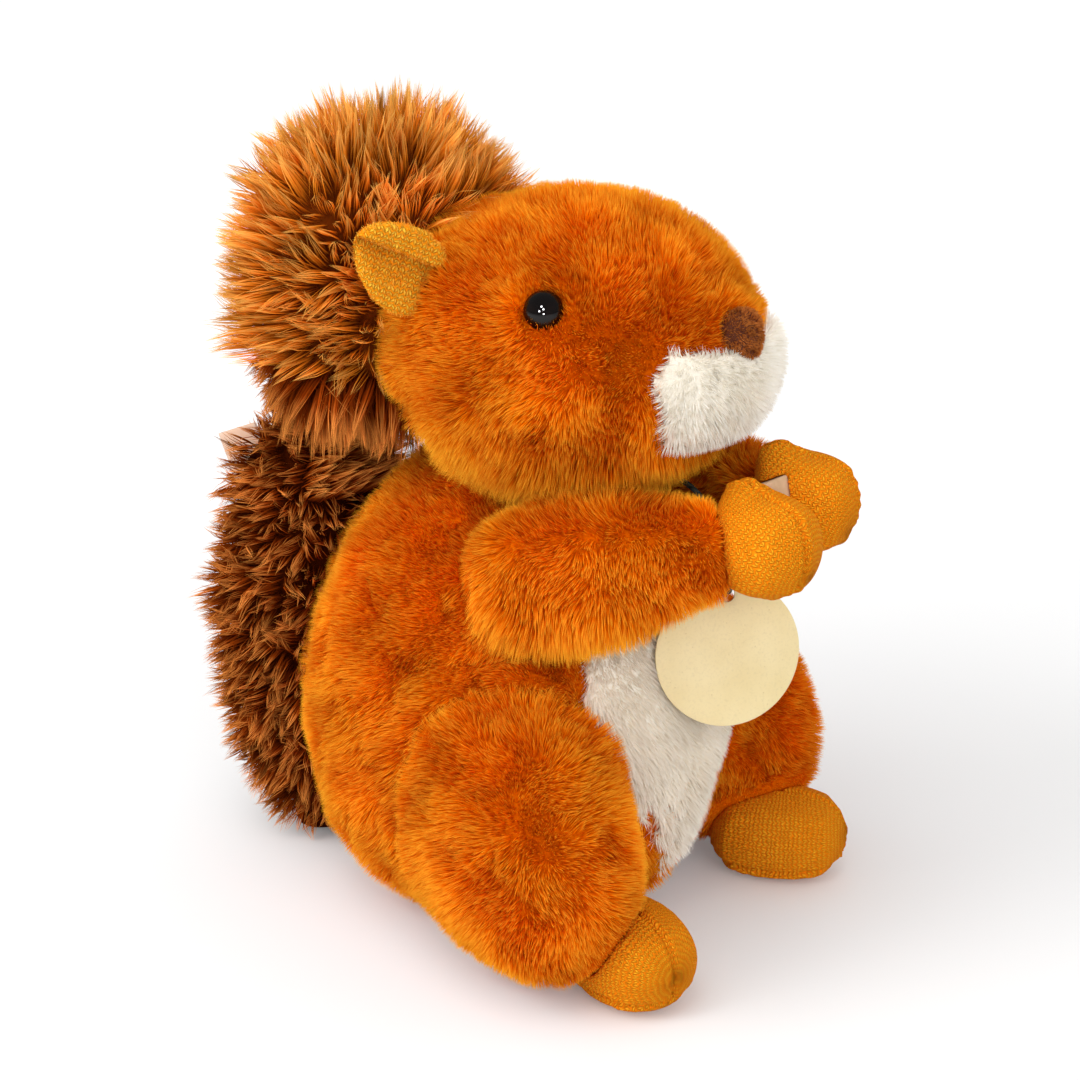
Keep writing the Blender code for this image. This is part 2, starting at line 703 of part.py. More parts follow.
def smooth_route(points, spacing):
    """Points along a smooth curve through the route's own points, which it keeps."""
    route = [Vector(point) for point in points]
    ends = [route[0] * 2.0 - route[1]] + route + [route[-1] * 2.0 - route[-2]]
    smooth = []
    for before, start, stop, after in zip(ends, ends[1:], ends[2:], ends[3:]):
        steps = max(1, round((stop - start).length / spacing))
        for step in range(steps):
            share = step / steps
            bend = (stop - before) * share
            bend += (before * 2.0 - start * 5.0 + stop * 4.0 - after) * share**2
            bend += (start * 3.0 - before - stop * 3.0 + after) * share**3
            smooth.append(start + bend / 2.0)
    smooth.append(route[-1])
    return smooth


def build_cord():
    """The thin cord that runs round the neck and through the hole of the card."""
    curve = bpy.data.curves.new("neck_cord", "CURVE")
    curve.dimensions = "3D"
    curve.bevel_depth = CORD_DIAMETER / 2.0
    curve.bevel_resolution = 2
    curve.use_fill_caps = True
    points = smooth_route(CORD_ROUTE, CORD_SPACING)
    spline = curve.splines.new("POLY")
    spline.points.add(len(points) - 1)
    for knot, point in zip(spline.points, points):
        knot.co = (*point, 1.0)
    cord = bpy.data.objects.new("neck_cord", curve)
    bpy.context.scene.collection.objects.link(cord)
    return finish(cord, CORD_GREEN)


def main():
    clear_scene()
    build_torso()
    build_head()
    build_belly()
    build_muzzle()
    build_nose()
    for side, word in ((-1, "right"), (1, "left")):
        build_thigh(side, "thigh_" + word)
        build_foot(side, "foot_" + word)
        build_arm(side, "arm_" + word)
        build_paw(side, "paw_" + word)
        build_ear(side, "ear_" + word)
        build_eye(side, "eye_" + word)
        build_washer(side, "eye_washer_" + word)
    build_tail_low()
    build_tail_top()
    build_label()
    build_nut()
    build_tag()
    build_cord()


main()
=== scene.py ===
# %% [markdown]
# # A sitting plush squirrel
# The toy is a set of stuffed cushions covered in long-pile plush, with two spiky tail lobes,
# knitted paws and feet, plastic eyes and a round card on a thin cord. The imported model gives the
# place and size of every piece. This lesson dresses it: each cushion gets a cloth shell, the
# shells grow a pile of real strands, and the smaller pieces get their own cloth, card and thread.
# Units are metres, +Z is up, and the squirrel faces -Y.

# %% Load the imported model
import math

import bmesh
import bpy
import numpy as np
from mathutils import Matrix, Vector
from mathutils.bvhtree import BVHTree
from mathutils.kdtree import KDTree


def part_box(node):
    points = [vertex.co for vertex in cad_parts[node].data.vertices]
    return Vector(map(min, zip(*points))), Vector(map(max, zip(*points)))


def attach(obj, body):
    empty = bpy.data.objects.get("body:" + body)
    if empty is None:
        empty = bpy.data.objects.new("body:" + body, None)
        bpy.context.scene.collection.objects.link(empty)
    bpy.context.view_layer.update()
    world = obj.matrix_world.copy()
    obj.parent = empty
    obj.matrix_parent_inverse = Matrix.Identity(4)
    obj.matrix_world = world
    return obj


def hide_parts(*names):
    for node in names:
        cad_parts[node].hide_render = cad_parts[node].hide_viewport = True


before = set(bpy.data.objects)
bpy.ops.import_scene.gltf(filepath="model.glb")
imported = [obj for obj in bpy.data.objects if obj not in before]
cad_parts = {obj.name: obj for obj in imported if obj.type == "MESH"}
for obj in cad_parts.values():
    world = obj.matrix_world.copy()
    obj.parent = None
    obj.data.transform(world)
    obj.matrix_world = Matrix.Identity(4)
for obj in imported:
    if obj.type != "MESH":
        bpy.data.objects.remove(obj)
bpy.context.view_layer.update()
scene = bpy.context.scene
print("solids in the packed model:", len(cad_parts))

# %% [markdown]
# ## The camera
# The camera comes first, because the way a cord lies is judged from it. A camera looks down its
# own -Z axis, so the direction from the target back to the camera gives its rotation.
# A long lens from 62 cm away keeps the squirrel's proportions calm.

# %% Place the camera
VIEW_TURN = math.radians(-58.0)      # around the squirrel, from straight ahead of its face
VIEW_HEIGHT = math.radians(19.0)     # above the horizon
VIEW_DISTANCE = 0.62
VIEW_TARGET = Vector((0.0, 0.0, 0.105))
LENS = 73.8                          # millimetres, on a 36 mm sensor


def direction(turn, height):
    """The unit vector that points from the target to a camera or lamp."""
    level = math.cos(height)
    return Vector((math.sin(turn) * level, -math.cos(turn) * level, math.sin(height)))


def aim(thing, place, target):
    """Put a camera or a lamp at a place, and turn it to look at the target."""
    thing.location = place
    thing.rotation_euler = (place - target).to_track_quat("Z", "Y").to_euler()


camera = bpy.data.objects.new("camera", bpy.data.cameras.new("camera"))
scene.collection.objects.link(camera)
camera.data.lens = LENS
camera.data.clip_start = 0.01
aim(camera, VIEW_TARGET + direction(VIEW_TURN, VIEW_HEIGHT) * VIEW_DISTANCE, VIEW_TARGET)
scene.camera = camera
print("camera stands at", [round(value, 3) for value in camera.location])

# %% [markdown]
# ## Helpers for shader nodes
# Every finish is a small graph of shader nodes. A helper that adds a node, sets its options and
# fills its inputs in one call keeps each material short enough to read.

# %% A short way to write shader graphs


class Graph:
    """Adds nodes to one node tree. An input is a number, a colour or another node's output."""

    def __init__(self, tree):
        self.tree = tree

    def fill(self, socket, value):
        if isinstance(value, bpy.types.NodeSocket):
            self.tree.links.new(value, socket)
        else:
            socket.default_value = value

    def add(self, kind, inputs=None, **settings):
        node = self.tree.nodes.new(kind)
        for name, value in settings.items():
            setattr(node, name, value)
        for name, value in (inputs or {}).items():
            self.fill(node.inputs[name], value)
        return node

    def math(self, operation, first, second=0.0):
        node = self.tree.nodes.new("ShaderNodeMath")
        node.operation = operation
        self.fill(node.inputs[0], first)
        self.fill(node.inputs[1], second)
        return node.outputs[0]

    def mix(self, share, first, second):
        """Mix two colours by a share from 0 to 1."""
        node = self.tree.nodes.new("ShaderNodeMix")
        node.data_type = "RGBA"
        self.fill(node.inputs[0], share)
        self.fill(node.inputs[6], first)
        self.fill(node.inputs[7], second)
        return node.outputs[2]

    def span(self, value, low, high, start=0.0, stop=1.0):
        """Turn the range low..high of a value into start..stop, and hold it there."""
        node = self.add("ShaderNodeMapRange", {0: value, 1: low, 2: high, 3: start, 4: stop})
        return node.outputs[0]

    def place(self):
        """Where a point lies in the space of its own piece."""
        return self.add("ShaderNodeTexCoord").outputs["Object"]

    def noise(self, place, scale, detail=2.0):
        """Cloudy noise from 0 to 1."""
        inputs = {"Vector": place, "Scale": scale, "Detail": detail}
        return self.add("ShaderNodeTexNoise", inputs).outputs[0]

    def cells(self, place, scale):
        """How far a point is from the nearest of many scattered points."""
        inputs = {"Vector": place, "Scale": scale}
        return self.add("ShaderNodeTexVoronoi", inputs).outputs["Distance"]

    def emboss(self, shader, height, strength, distance):
        """Let a pattern of heights catch the light on a surface."""
        inputs = {"Strength": strength, "Distance": distance, "Height": height}
        self.fill(shader.inputs["Normal"], self.add("ShaderNodeBump", inputs).outputs[0])


def new_material(name, rough=0.8, shine=0.5, **constants):
    """A material with an empty Principled shader. A constant sits on the shader's own socket."""
    made = bpy.data.materials.new(name)
    made.use_nodes = True
    shader = made.node_tree.nodes["Principled BSDF"]
    shader.inputs["Roughness"].default_value = rough
    shader.inputs["Specular IOR Level"].default_value = shine
    for key, value in constants.items():
        shader.inputs[key.replace("_", " ").title()].default_value = value
    return made, Graph(made.node_tree), shader


def new_group(name, inputs, outputs):
    """An empty node group with named sockets: inputs are (name, kind, default)."""
    tree = bpy.data.node_groups.new(name, "ShaderNodeTree")
    for label, kind, default in inputs:
        socket = tree.interface.new_socket(name=label, in_out="INPUT", socket_type=kind)
        socket.default_value = default
    for label, kind in outputs:
        tree.interface.new_socket(name=label, in_out="OUTPUT", socket_type=kind)
    graph = Graph(tree)
    return tree, graph, graph.add("NodeGroupInput").outputs, graph.add("NodeGroupOutput").inputs


NUMBER, COLOUR = "NodeSocketFloat", "NodeSocketColor"
print("shader helpers are ready")

# %% [markdown]
# ## The floor, the background and the lamps
# The squirrel sits on plain white in soft studio light. The floor is a real white surface, so it
# takes the soft shadow. The world looks white to the camera, but it lights the scene more
# gently, which the Light Path node makes possible: it tells a ray that comes straight from the
# camera from a ray that is gathering light. In a mirror it is darker still, so the eyes stay
# black, and four small lamps that show only in mirrors give them their glints.

# %% Build the studio
FLOOR_SIZE = 12.0
FLOOR_WHITE = 0.79
WORLD_LIGHT = 0.72
WORLD_MIRRORED = 0.25        # a mirror shows darker surroundings, as in a room with few lamps
GLOW_NEAR, GLOW_FAR = 0.13, 0.45     # how much whiter the floor looks to the camera alone
GLOW_START, GLOW_STOP = 0.20, 0.90   # it changes over this stretch, from the middle of the floor
SOFTBOXES = (
    ("overhead_softbox", -95.0, 66.0, 1.3, 0.9, 4.6),
    ("side_softbox", -128.0, 32.0, 1.3, 0.8, 8.4),
    ("front_softbox", -34.0, 20.0, 1.4, 0.8, 5.2),
)
GLINTS = ((-74.0, 42.0), (-62.0, 30.0), (-82.0, 20.0), (-60.0, 8.0))
GLINT_DISTANCE, GLINT_SIZE, GLINT_WATTS = 0.8, 0.09, 3.0


def build_floor():
    bm = bmesh.new()
    bmesh.ops.create_grid(bm, x_segments=1, y_segments=1, size=FLOOR_SIZE / 2.0)
    mesh = bpy.data.meshes.new("floor")
    bm.to_mesh(mesh)
    bm.free()
    floor = bpy.data.objects.new("floor", mesh)
    scene.collection.objects.link(floor)
    made, graph, shader = new_material("floor_white", rough=0.9, shine=0.0)
    shader.inputs["Base Color"].default_value = (FLOOR_WHITE, FLOOR_WHITE, FLOOR_WHITE, 1.0)
    shader.inputs["Emission Color"].default_value = (1.0, 1.0, 1.0, 1.0)
    seen = graph.add("ShaderNodeLightPath").outputs["Is Camera Ray"]
    from_middle = graph.add("ShaderNodeVectorMath", {0: graph.place()}, operation="LENGTH")
    away = from_middle.outputs["Value"]
    glow = graph.span(away, GLOW_START, GLOW_STOP, GLOW_NEAR, GLOW_FAR)
    graph.fill(shader.inputs["Emission Strength"], graph.math("MULTIPLY", seen, glow))
    mesh.materials.append(made)


def build_world():
    world = bpy.data.worlds.new("studio")
    world.use_nodes = True
    scene.world = world
    graph = Graph(world.node_tree)
    path = graph.add("ShaderNodeLightPath").outputs
    seen = graph.math("MAXIMUM", path["Is Camera Ray"], path["Is Transmission Ray"])
    background = world.node_tree.nodes["Background"]
    background.inputs["Color"].default_value = (1.0, 1.0, 1.0, 1.0)
    light = graph.span(path["Is Glossy Ray"], 0.0, 1.0, WORLD_LIGHT, WORLD_MIRRORED)
    graph.fill(background.inputs["Strength"], graph.math("MAXIMUM", light, seen))


def add_lamp(name, turn, height, distance, size, watts, mirrored=False):
    """A square lamp that looks at the middle of the squirrel. It lights, or it only glints."""
    light = bpy.data.lights.new(name, "AREA")
    light.shape = "SQUARE"
    light.size = size
    light.energy = watts
    lamp = bpy.data.objects.new(name, light)
    lamp.visible_glossy = mirrored
    lamp.visible_diffuse = not mirrored
    scene.collection.objects.link(lamp)
    away = direction(math.radians(turn), math.radians(height))
    aim(lamp, VIEW_TARGET + away * distance, VIEW_TARGET)


build_floor()
build_world()
for name, turn, height, distance, size, watts in SOFTBOXES:
    add_lamp(name, turn, height, distance, size, watts)
for number, (turn, height) in enumerate(GLINTS):
    add_lamp(f"glint_{number}", turn, height, GLINT_DISTANCE, GLINT_SIZE, GLINT_WATTS, mirrored=True)
scene.view_settings.view_transform = "Standard"

# %% [markdown]
# ## The cord
# The card hangs on one thin, limp cord. It runs round the neck, hidden in the crease under the
# head, meets in front of the chest and passes through the hole of the card. Its points are the
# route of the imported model. A curve with a round bevel gives the tube, and the tube is made a
# mesh, so that its own UV map can carry the twist of the two plies along it.

# %% Route of the cord
CORD_DIAMETER = 0.0015
CORD_SPACING = 0.0020        # from one ring of the tube to the next
CORD_PLY = 0.0026            # length of one turn of the twist
CORD_ROUTE = (
    (-0.0050, 0.0247, 0.1357),
    (-0.0098, 0.0230, 0.1352),
    (-0.0145, 0.0204, 0.1345),
    (-0.0192, 0.0171, 0.1334),
    (-0.0226, 0.0120, 0.1321),
    (-0.0245, 0.0060, 0.1310),
    (-0.0247, -0.0007, 0.1297),
    (-0.0234, -0.0075, 0.1282),
    (-0.0199, -0.0140, 0.1270),
    (-0.0160, -0.0280, 0.1264),
    (-0.0110, -0.0415, 0.1250),
    (-0.0084, -0.0522, 0.1204),
    (-0.0078, -0.0602, 0.1140),
    (-0.0066, -0.0633, 0.1073),
    (-0.0057, -0.0624, 0.1037),
    (-0.0047, -0.0614, 0.1032),
    (-0.0036, -0.0603, 0.1033),
    (-0.0021, -0.0588, 0.1064),
    (0.0003, -0.0566, 0.1135),
    (0.0052, -0.0508, 0.1204),
    (0.0105, -0.0415, 0.1250),
    (0.0160, -0.0280, 0.1264),
    (0.0199, -0.0140, 0.1270),
    (0.0234, -0.0075, 0.1282),
    (0.0247, -0.0007, 0.1297),
    (0.0245, 0.0060, 0.1310),
    (0.0226, 0.0120, 0.1321),
    (0.0192, 0.0171, 0.1334),
    (0.0145, 0.0204, 0.1345),
    (0.0098, 0.0230, 0.1352),
    (0.0050, 0.0247, 0.1357),
)


def smooth_route(points, spacing):
    """Points along a smooth curve through the route's own points, which it keeps."""
    route = [Vector(point) for point in points]
    ends = [route[0] * 2.0 - route[1]] + route + [route[-1] * 2.0 - route[-2]]
    smooth = []
    for before, start, stop, after in zip(ends, ends[1:], ends[2:], ends[3:]):
        steps = max(1, round((stop - start).length / spacing))
        for step in range(steps):
            share = step / steps
            bend = (stop - before) * share
            bend += (before * 2.0 - start * 5.0 + stop * 4.0 - after) * share**2
            bend += (start * 3.0 - before - stop * 3.0 + after) * share**3
            smooth.append(start + bend / 2.0)
    smooth.append(route[-1])
    return smooth


# %% Build the cord


def cord_material(length):
    """Two plies that wind round each other: slanted stripes in the UV map of the tube."""
    made, graph, shader = new_material("cord_thread", rough=0.75)
    place = graph.add("ShaderNodeSeparateXYZ", {0: graph.add("ShaderNodeUVMap").outputs[0]})
    turns = graph.math("MULTIPLY", place.outputs[0], length / CORD_PLY)
    phase = graph.math("ADD", turns, graph.math("MULTIPLY", place.outputs[1], 2.0))
    wave = graph.math("SINE", graph.math("MULTIPLY", phase, math.tau))
    groove = graph.span(wave, -1.0, 0.2)
    grain = graph.noise(graph.place(), 2500.0, 3.0)
    # The grooves between the plies take the dark colour and the crowns the light one: painted shade in
    # the grooves. A grain noise varies the crowns.
    dark, light = (0.012, 0.018, 0.014, 1.0), (0.060, 0.085, 0.062, 1.0)
    share = graph.math("MULTIPLY", groove, graph.span(grain, 0.3, 0.7, 0.5, 1.0))
    graph.fill(shader.inputs["Base Color"], graph.mix(share, dark, light))
    graph.emboss(shader, groove, 0.8, 0.0003)
    return made


def build_cord():
    points = smooth_route(CORD_ROUTE, CORD_SPACING)
    length = sum((b - a).length for a, b in zip(points, points[1:]))
    curve = bpy.data.curves.new("neck_cord_route", "CURVE")
    curve.dimensions = "3D"
    curve.bevel_depth = CORD_DIAMETER / 2.0
    curve.bevel_resolution = 3
    curve.use_fill_caps = True
    spline = curve.splines.new("POLY")
    spline.points.add(len(points) - 1)
    for knot, point in zip(spline.points, points):
        knot.co = (*point, 1.0)
    guide = bpy.data.objects.new("neck_cord_route", curve)
    scene.collection.objects.link(guide)
    bpy.context.view_layer.update()
    tube = bpy.data.meshes.new_from_object(guide.evaluated_get(bpy.context.evaluated_depsgraph_get()))
    bpy.data.objects.remove(guide, do_unlink=True)
    tube.name = "neck_cord_twist"
    cord = bpy.data.objects.new("neck_cord_twist", tube)
    scene.collection.objects.link(cord)
    tube.materials.clear()
    tube.materials.append(cord_material(length))
    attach(cord, "root")
    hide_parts("neck_cord")
    print("cord:", round(length * 1000.0, 1), "mm,", [layer.name for layer in tube.uv_layers])


build_cord()

# %% [markdown]
# ## Cloth shells
# Under its pile each cushion has a woven backing. A shell stands for it. It starts as a copy of
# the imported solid, which fixes its place and size, and a voxel remesh turns the loose triangles
# into an even skin of small squares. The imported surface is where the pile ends, so the backing
# lies a few millimetres under it. Where two pieces touch, the backing stays at the packed
# surface instead, so the sewn pieces really meet.

# %% Helpers that make pieces


def new_piece(name, bm, made):
    """Turn a bmesh into a finished piece that rides on the squirrel's one body."""
    mesh = bpy.data.meshes.new(name)
    bm.to_mesh(mesh)
    bm.free()
    piece = bpy.data.objects.new(name, mesh)
    scene.collection.objects.link(piece)
    mesh.shade_smooth()
    mesh.materials.append(made)
    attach(piece, "root")
    return piece


def merged_copy(node):
    """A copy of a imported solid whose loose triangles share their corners."""
    bm = bmesh.new()
    bm.from_mesh(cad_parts[node].data)
    bmesh.ops.remove_doubles(bm, verts=bm.verts, dist=1e-6)
    return bm


def apply_modifiers(piece):
    """Replace the mesh of a piece by what its modifiers make of it."""
    bpy.context.view_layer.update()
    graph = bpy.context.evaluated_depsgraph_get()
    done = bpy.data.meshes.new_from_object(piece.evaluated_get(graph))
    done.name = piece.name
    piece.modifiers.clear()
    old = piece.data
    piece.data = done
    bpy.data.meshes.remove(old)


def remesh(piece, voxel, rounds):
    """Even out a closed mesh with a voxel remesh, and smooth away its steps."""
    even = piece.modifiers.new("remesh", "REMESH")
    even.mode = "VOXEL"
    even.voxel_size = voxel
    even.use_smooth_shade = True
    calm = piece.modifiers.new("smooth", "SMOOTH")
    calm.factor = 0.5
    calm.iterations = rounds
    apply_modifiers(piece)


def vertex_arrays(mesh):
    """The places and normals of a mesh's vertices, as arrays."""
    count = len(mesh.vertices)
    places = np.empty(count * 3)
    normals = np.empty(count * 3)
    mesh.vertices.foreach_get("co", places)
    mesh.vertices.foreach_get("normal", normals)
    return places.reshape(-1, 3), normals.reshape(-1, 3)


def move_vertices(mesh, places):
    mesh.vertices.foreach_set("co", places.ravel())
    mesh.update()


def ease(value):
    """A smooth step from 0 to 1."""
    held = np.clip(value, 0.0, 1.0)
    return held * held * (3.0 - 2.0 * held)


def nearest(nodes, places):
    """For each place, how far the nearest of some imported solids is, and which way it lies."""
    distance = np.full(len(places), 1.0)
    toward = np.zeros((len(places), 3))
    for node in nodes:
        bm = merged_copy(node)
        tree = BVHTree.FromBMesh(bm)
        bm.free()
        for index, place in enumerate(places):
            hit, _, _, gap = tree.find_nearest(place, 0.02)
            if hit is not None and gap < distance[index]:
                distance[index] = gap
                toward[index] = np.array(hit) - place
    return distance, toward


# %% Build one shell
CONTACT = 0.0010             # closer than this, two sewn pieces touch
REACH = 0.0075               # over this distance the backing sinks to its full depth
GROUND_GAP = 0.0004          # backing and strands end this high above the ground
SEAT_HEIGHT = 0.006          # the seat is below this height,
SEAT_SLOPE = -0.45           # and its normals point down by at least this much


def build_shell(node, name, made, depth, furry=(), bare=(), voxel=0.003, rounds=3):
    """The backing cloth of one cushion, with what its pile has to know about the neighbours."""
    shell = new_piece(name, merged_copy(node), made)
    remesh(shell, voxel, rounds)
    places, normals = vertex_arrays(shell.data)
    furry_gap, _ = nearest(furry, places)
    bare_gap, toward = nearest(bare, places)
    facing_down = ease((-normals[:, 2] - 0.5) / 0.4)
    floor_gap = places[:, 2] + REACH * 2.0 * (1.0 - facing_down)
    gap = np.minimum(np.minimum(furry_gap, bare_gap), floor_gap)
    sink = depth * ease((gap - CONTACT) / REACH)
    places = places - normals * sink[:, None]
    places[:, 2] = np.maximum(places[:, 2], GROUND_GAP)
    move_vertices(shell.data, places)
    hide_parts(node)
    resting = (places[:, 2] < SEAT_HEIGHT) & (normals[:, 2] < SEAT_SLOPE)
    touching = np.minimum(furry_gap, bare_gap) < CONTACT * 0.2
    away = -toward / np.maximum(np.linalg.norm(toward, axis=1), 1e-9)[:, None]
    print(name, len(places), "points, covered:", int((touching | resting).sum()))
    return {
        "piece": shell,
        "hidden": (touching | resting).astype(float),
        "bare": bare_gap,
        "away": away,
    }


# %% [markdown]
# ## Growing the pile
# Plush is a field of fine strands, and nothing else gives its soft outline, so every strand is
# real geometry: a narrow blade with a buried root and a pointed tip, only one to five triangles
# each. No modelling operator draws half a million blades, so their corners are worked out
# with arrays. The strands start at random places on a shell. They stand up, lean along the comb,
# sway with a smooth random drift, and gather their tips into small tufts, as real pile does.
# Each strand also carries two values for its material: how far along it a point is, and a tone.

# %% Random drift and strand geometry
WAVES = 14                   # sine waves in one random drift
CELL_MARGIN = 0.08           # space left free round each blade in the UV map


def drift(places, size, seed):
    """Smooth random vectors over space, which change over about the given distance."""
    chance = np.random.default_rng(seed)
    result = np.zeros_like(places)
    for _ in range(WAVES):
        wave = chance.normal(size=3)
        wave *= math.tau / size * chance.uniform(0.6, 1.5) / np.linalg.norm(wave)
        phase = chance.uniform(0.0, math.tau, 3)
        result += np.sin((places @ wave)[:, None] + phase)
    return result / math.sqrt(WAVES / 2.0)


def unit(vectors):
    return vectors / np.maximum(np.linalg.norm(vectors, axis=1), 1e-9)[:, None]


def scatter(shell, density, chance):
    """Random roots on the open faces of a shell: places, normals and the shell's own values."""
    mesh = shell["piece"].data
    mesh.calc_loop_triangles()
    triangles = np.empty(len(mesh.loop_triangles) * 3, dtype=int)
    mesh.loop_triangles.foreach_get("vertices", triangles)
    triangles = triangles.reshape(-1, 3)
    places, normals = vertex_arrays(mesh)
    a, b, c = (places[triangles[:, corner]] for corner in range(3))
    area = np.linalg.norm(np.cross(b - a, c - a), axis=1) / 2.0
    area[shell["hidden"][triangles].sum(axis=1) > 1.0] = 0.0
    count = int(area.sum() * density * 1e6)
    picked = chance.choice(len(area), size=count, p=area / area.sum())
    first, second = np.sqrt(chance.random(count)), chance.random(count)
    shares = np.stack([1.0 - first, first * (1.0 - second), first * second], axis=1)
    corners = triangles[picked]

    def at_roots(values):
        if values.ndim == 1:
            return (values[corners] * shares).sum(axis=1)
        return (values[corners] * shares[:, :, None]).sum(axis=1)

    return at_roots(places), unit(at_roots(normals)), at_roots(shell["bare"]), at_roots(shell["away"])


def blades(name, line, side, tone, made):
    """One mesh of many blades. Line holds each blade's points from its buried root to its tip."""
    count, stations, _ = line.shape
    rows = []
    for station in range(stations - 1):
        rows.append(line[:, station : station + 1] + side[:, station : station + 1])
        rows.append(line[:, station : station + 1] - side[:, station : station + 1])
    rows.append(line[:, -1:])
    corners = np.concatenate(rows, axis=1)
    per_blade = corners.shape[1]
    pattern = []
    for left in range(0, per_blade - 3, 2):
        pattern += [(left + 1, left, left + 2), (left + 1, left + 2, left + 3)]
    pattern.append((per_blade - 2, per_blade - 3, per_blade - 1))
    faces = (np.array(pattern)[None] + (np.arange(count) * per_blade)[:, None, None]).reshape(-1, 3)
    mesh = bpy.data.meshes.new(name)
    mesh.from_pydata(corners.reshape(-1, 3), [], faces)
    mesh.shade_smooth()
    steps = [step / (stations - 1) for step in range(stations - 1)]
    along = np.array([share for share in steps for _ in range(2)] + [1.0])
    across = np.array([edge for _ in steps for edge in (0.9, 0.1)] + [0.5])
    add_value(mesh, "along", np.tile(along, count))
    add_value(mesh, "tone", np.repeat(tone, per_blade))
    columns = math.ceil(math.sqrt(count))
    cell = np.stack([np.arange(count) % columns, np.arange(count) // columns], axis=1)
    inside = np.stack([across, CELL_MARGIN + (1.0 - 2.0 * CELL_MARGIN) * along], axis=1)
    spots = ((cell[:, None, :] + inside[None]) / columns).reshape(-1, 2)
    layer = mesh.uv_layers.new(name="OFBake")
    layer.uv.foreach_set("vector", spots[faces.ravel()].ravel())
    mesh.materials.append(made)
    piece = bpy.data.objects.new(name, mesh)
    scene.collection.objects.link(piece)
    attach(piece, "root")
    return piece


def add_value(mesh, name, values):
    mesh.attributes.new(name, "FLOAT", "POINT").data.foreach_set("value", values)


# %% Close strands up into tufts
PROFILE = {2: [1.0], 3: [0.4, 1.0], 4: [0.3, 1.0, 0.62]}     # width of a strand at each station
SHORTEST, LONGEST = 0.6, 1.2         # a strand's length, at most and at least, beside its leader
BLADE_ROLL = 0.55            # how far blades turn about their own length, in radians


def gather_tufts(line, roots, long, leaders, chance, gather, loose, pinch):
    """Close the strands up round the first few of them, and tell which strand leads each."""
    tree = KDTree(leaders)
    for index in range(leaders):
        tree.insert(roots[index], index)
    tree.balance()
    leader = np.array([tree.find(root)[1] for root in roots])
    offset = roots - roots[leader]
    hold = chance.uniform(1.0 - loose, 1.0, len(roots))
    scale = np.clip(long / long[leader], SHORTEST, LONGEST)[:, None]
    steps = np.linspace(0.0, 1.0, line.shape[1])
    for station in range(1, len(steps)):
        close = gather * steps[station] ** pinch
        target = line[leader, station] + offset * (1.0 - close)
        target = roots + (target - roots) * scale
        share = (hold * steps[station])[:, None]
        line[:, station] += (target - line[:, station]) * share * min(1.0, gather * 1.5)
    return leader


def half_widths(line, normals, width, chance):
    """Half of each blade's width at every station but its tip, as vectors across the blade."""
    count, stations, _ = line.shape
    along = unit(line[:, -1] - line[:, 0])
    flat = unit(np.cross(along, normals) + chance.normal(size=(count, 3)) * 0.02)
    roll = chance.normal(size=count) * BLADE_ROLL
    turned = flat * np.cos(roll)[:, None] + np.cross(along, flat) * np.sin(roll)[:, None]
    half = width / 2.0 * chance.uniform(0.7, 1.2, count)
    narrow = np.array(PROFILE[stations])
    return turned[:, None, :] * (half[:, None] * narrow[None, :])[:, :, None]


# %% Grow the pile of one shell
ROOT_DEPTH = 0.0004          # how deep a root is buried in the backing
LOW_PILE = 0.014             # below this height the pile is worn shorter by the ground
LOW_TRIM = 0.45              # how much shorter it is at the very bottom
FRINGE_GROWTH = 0.9          # how much longer a full fringe is
FRINGE_DROP = 1.1            # how far it hangs
# The few much paler strands are painted glints of light on single fibres.
GLINT_STRAND_SHARE, GLINT_STRAND_TONE = 0.006, 3.0   # a few strands are much paler than the rest
STRANDS = {"blades": 0, "triangles": 0}


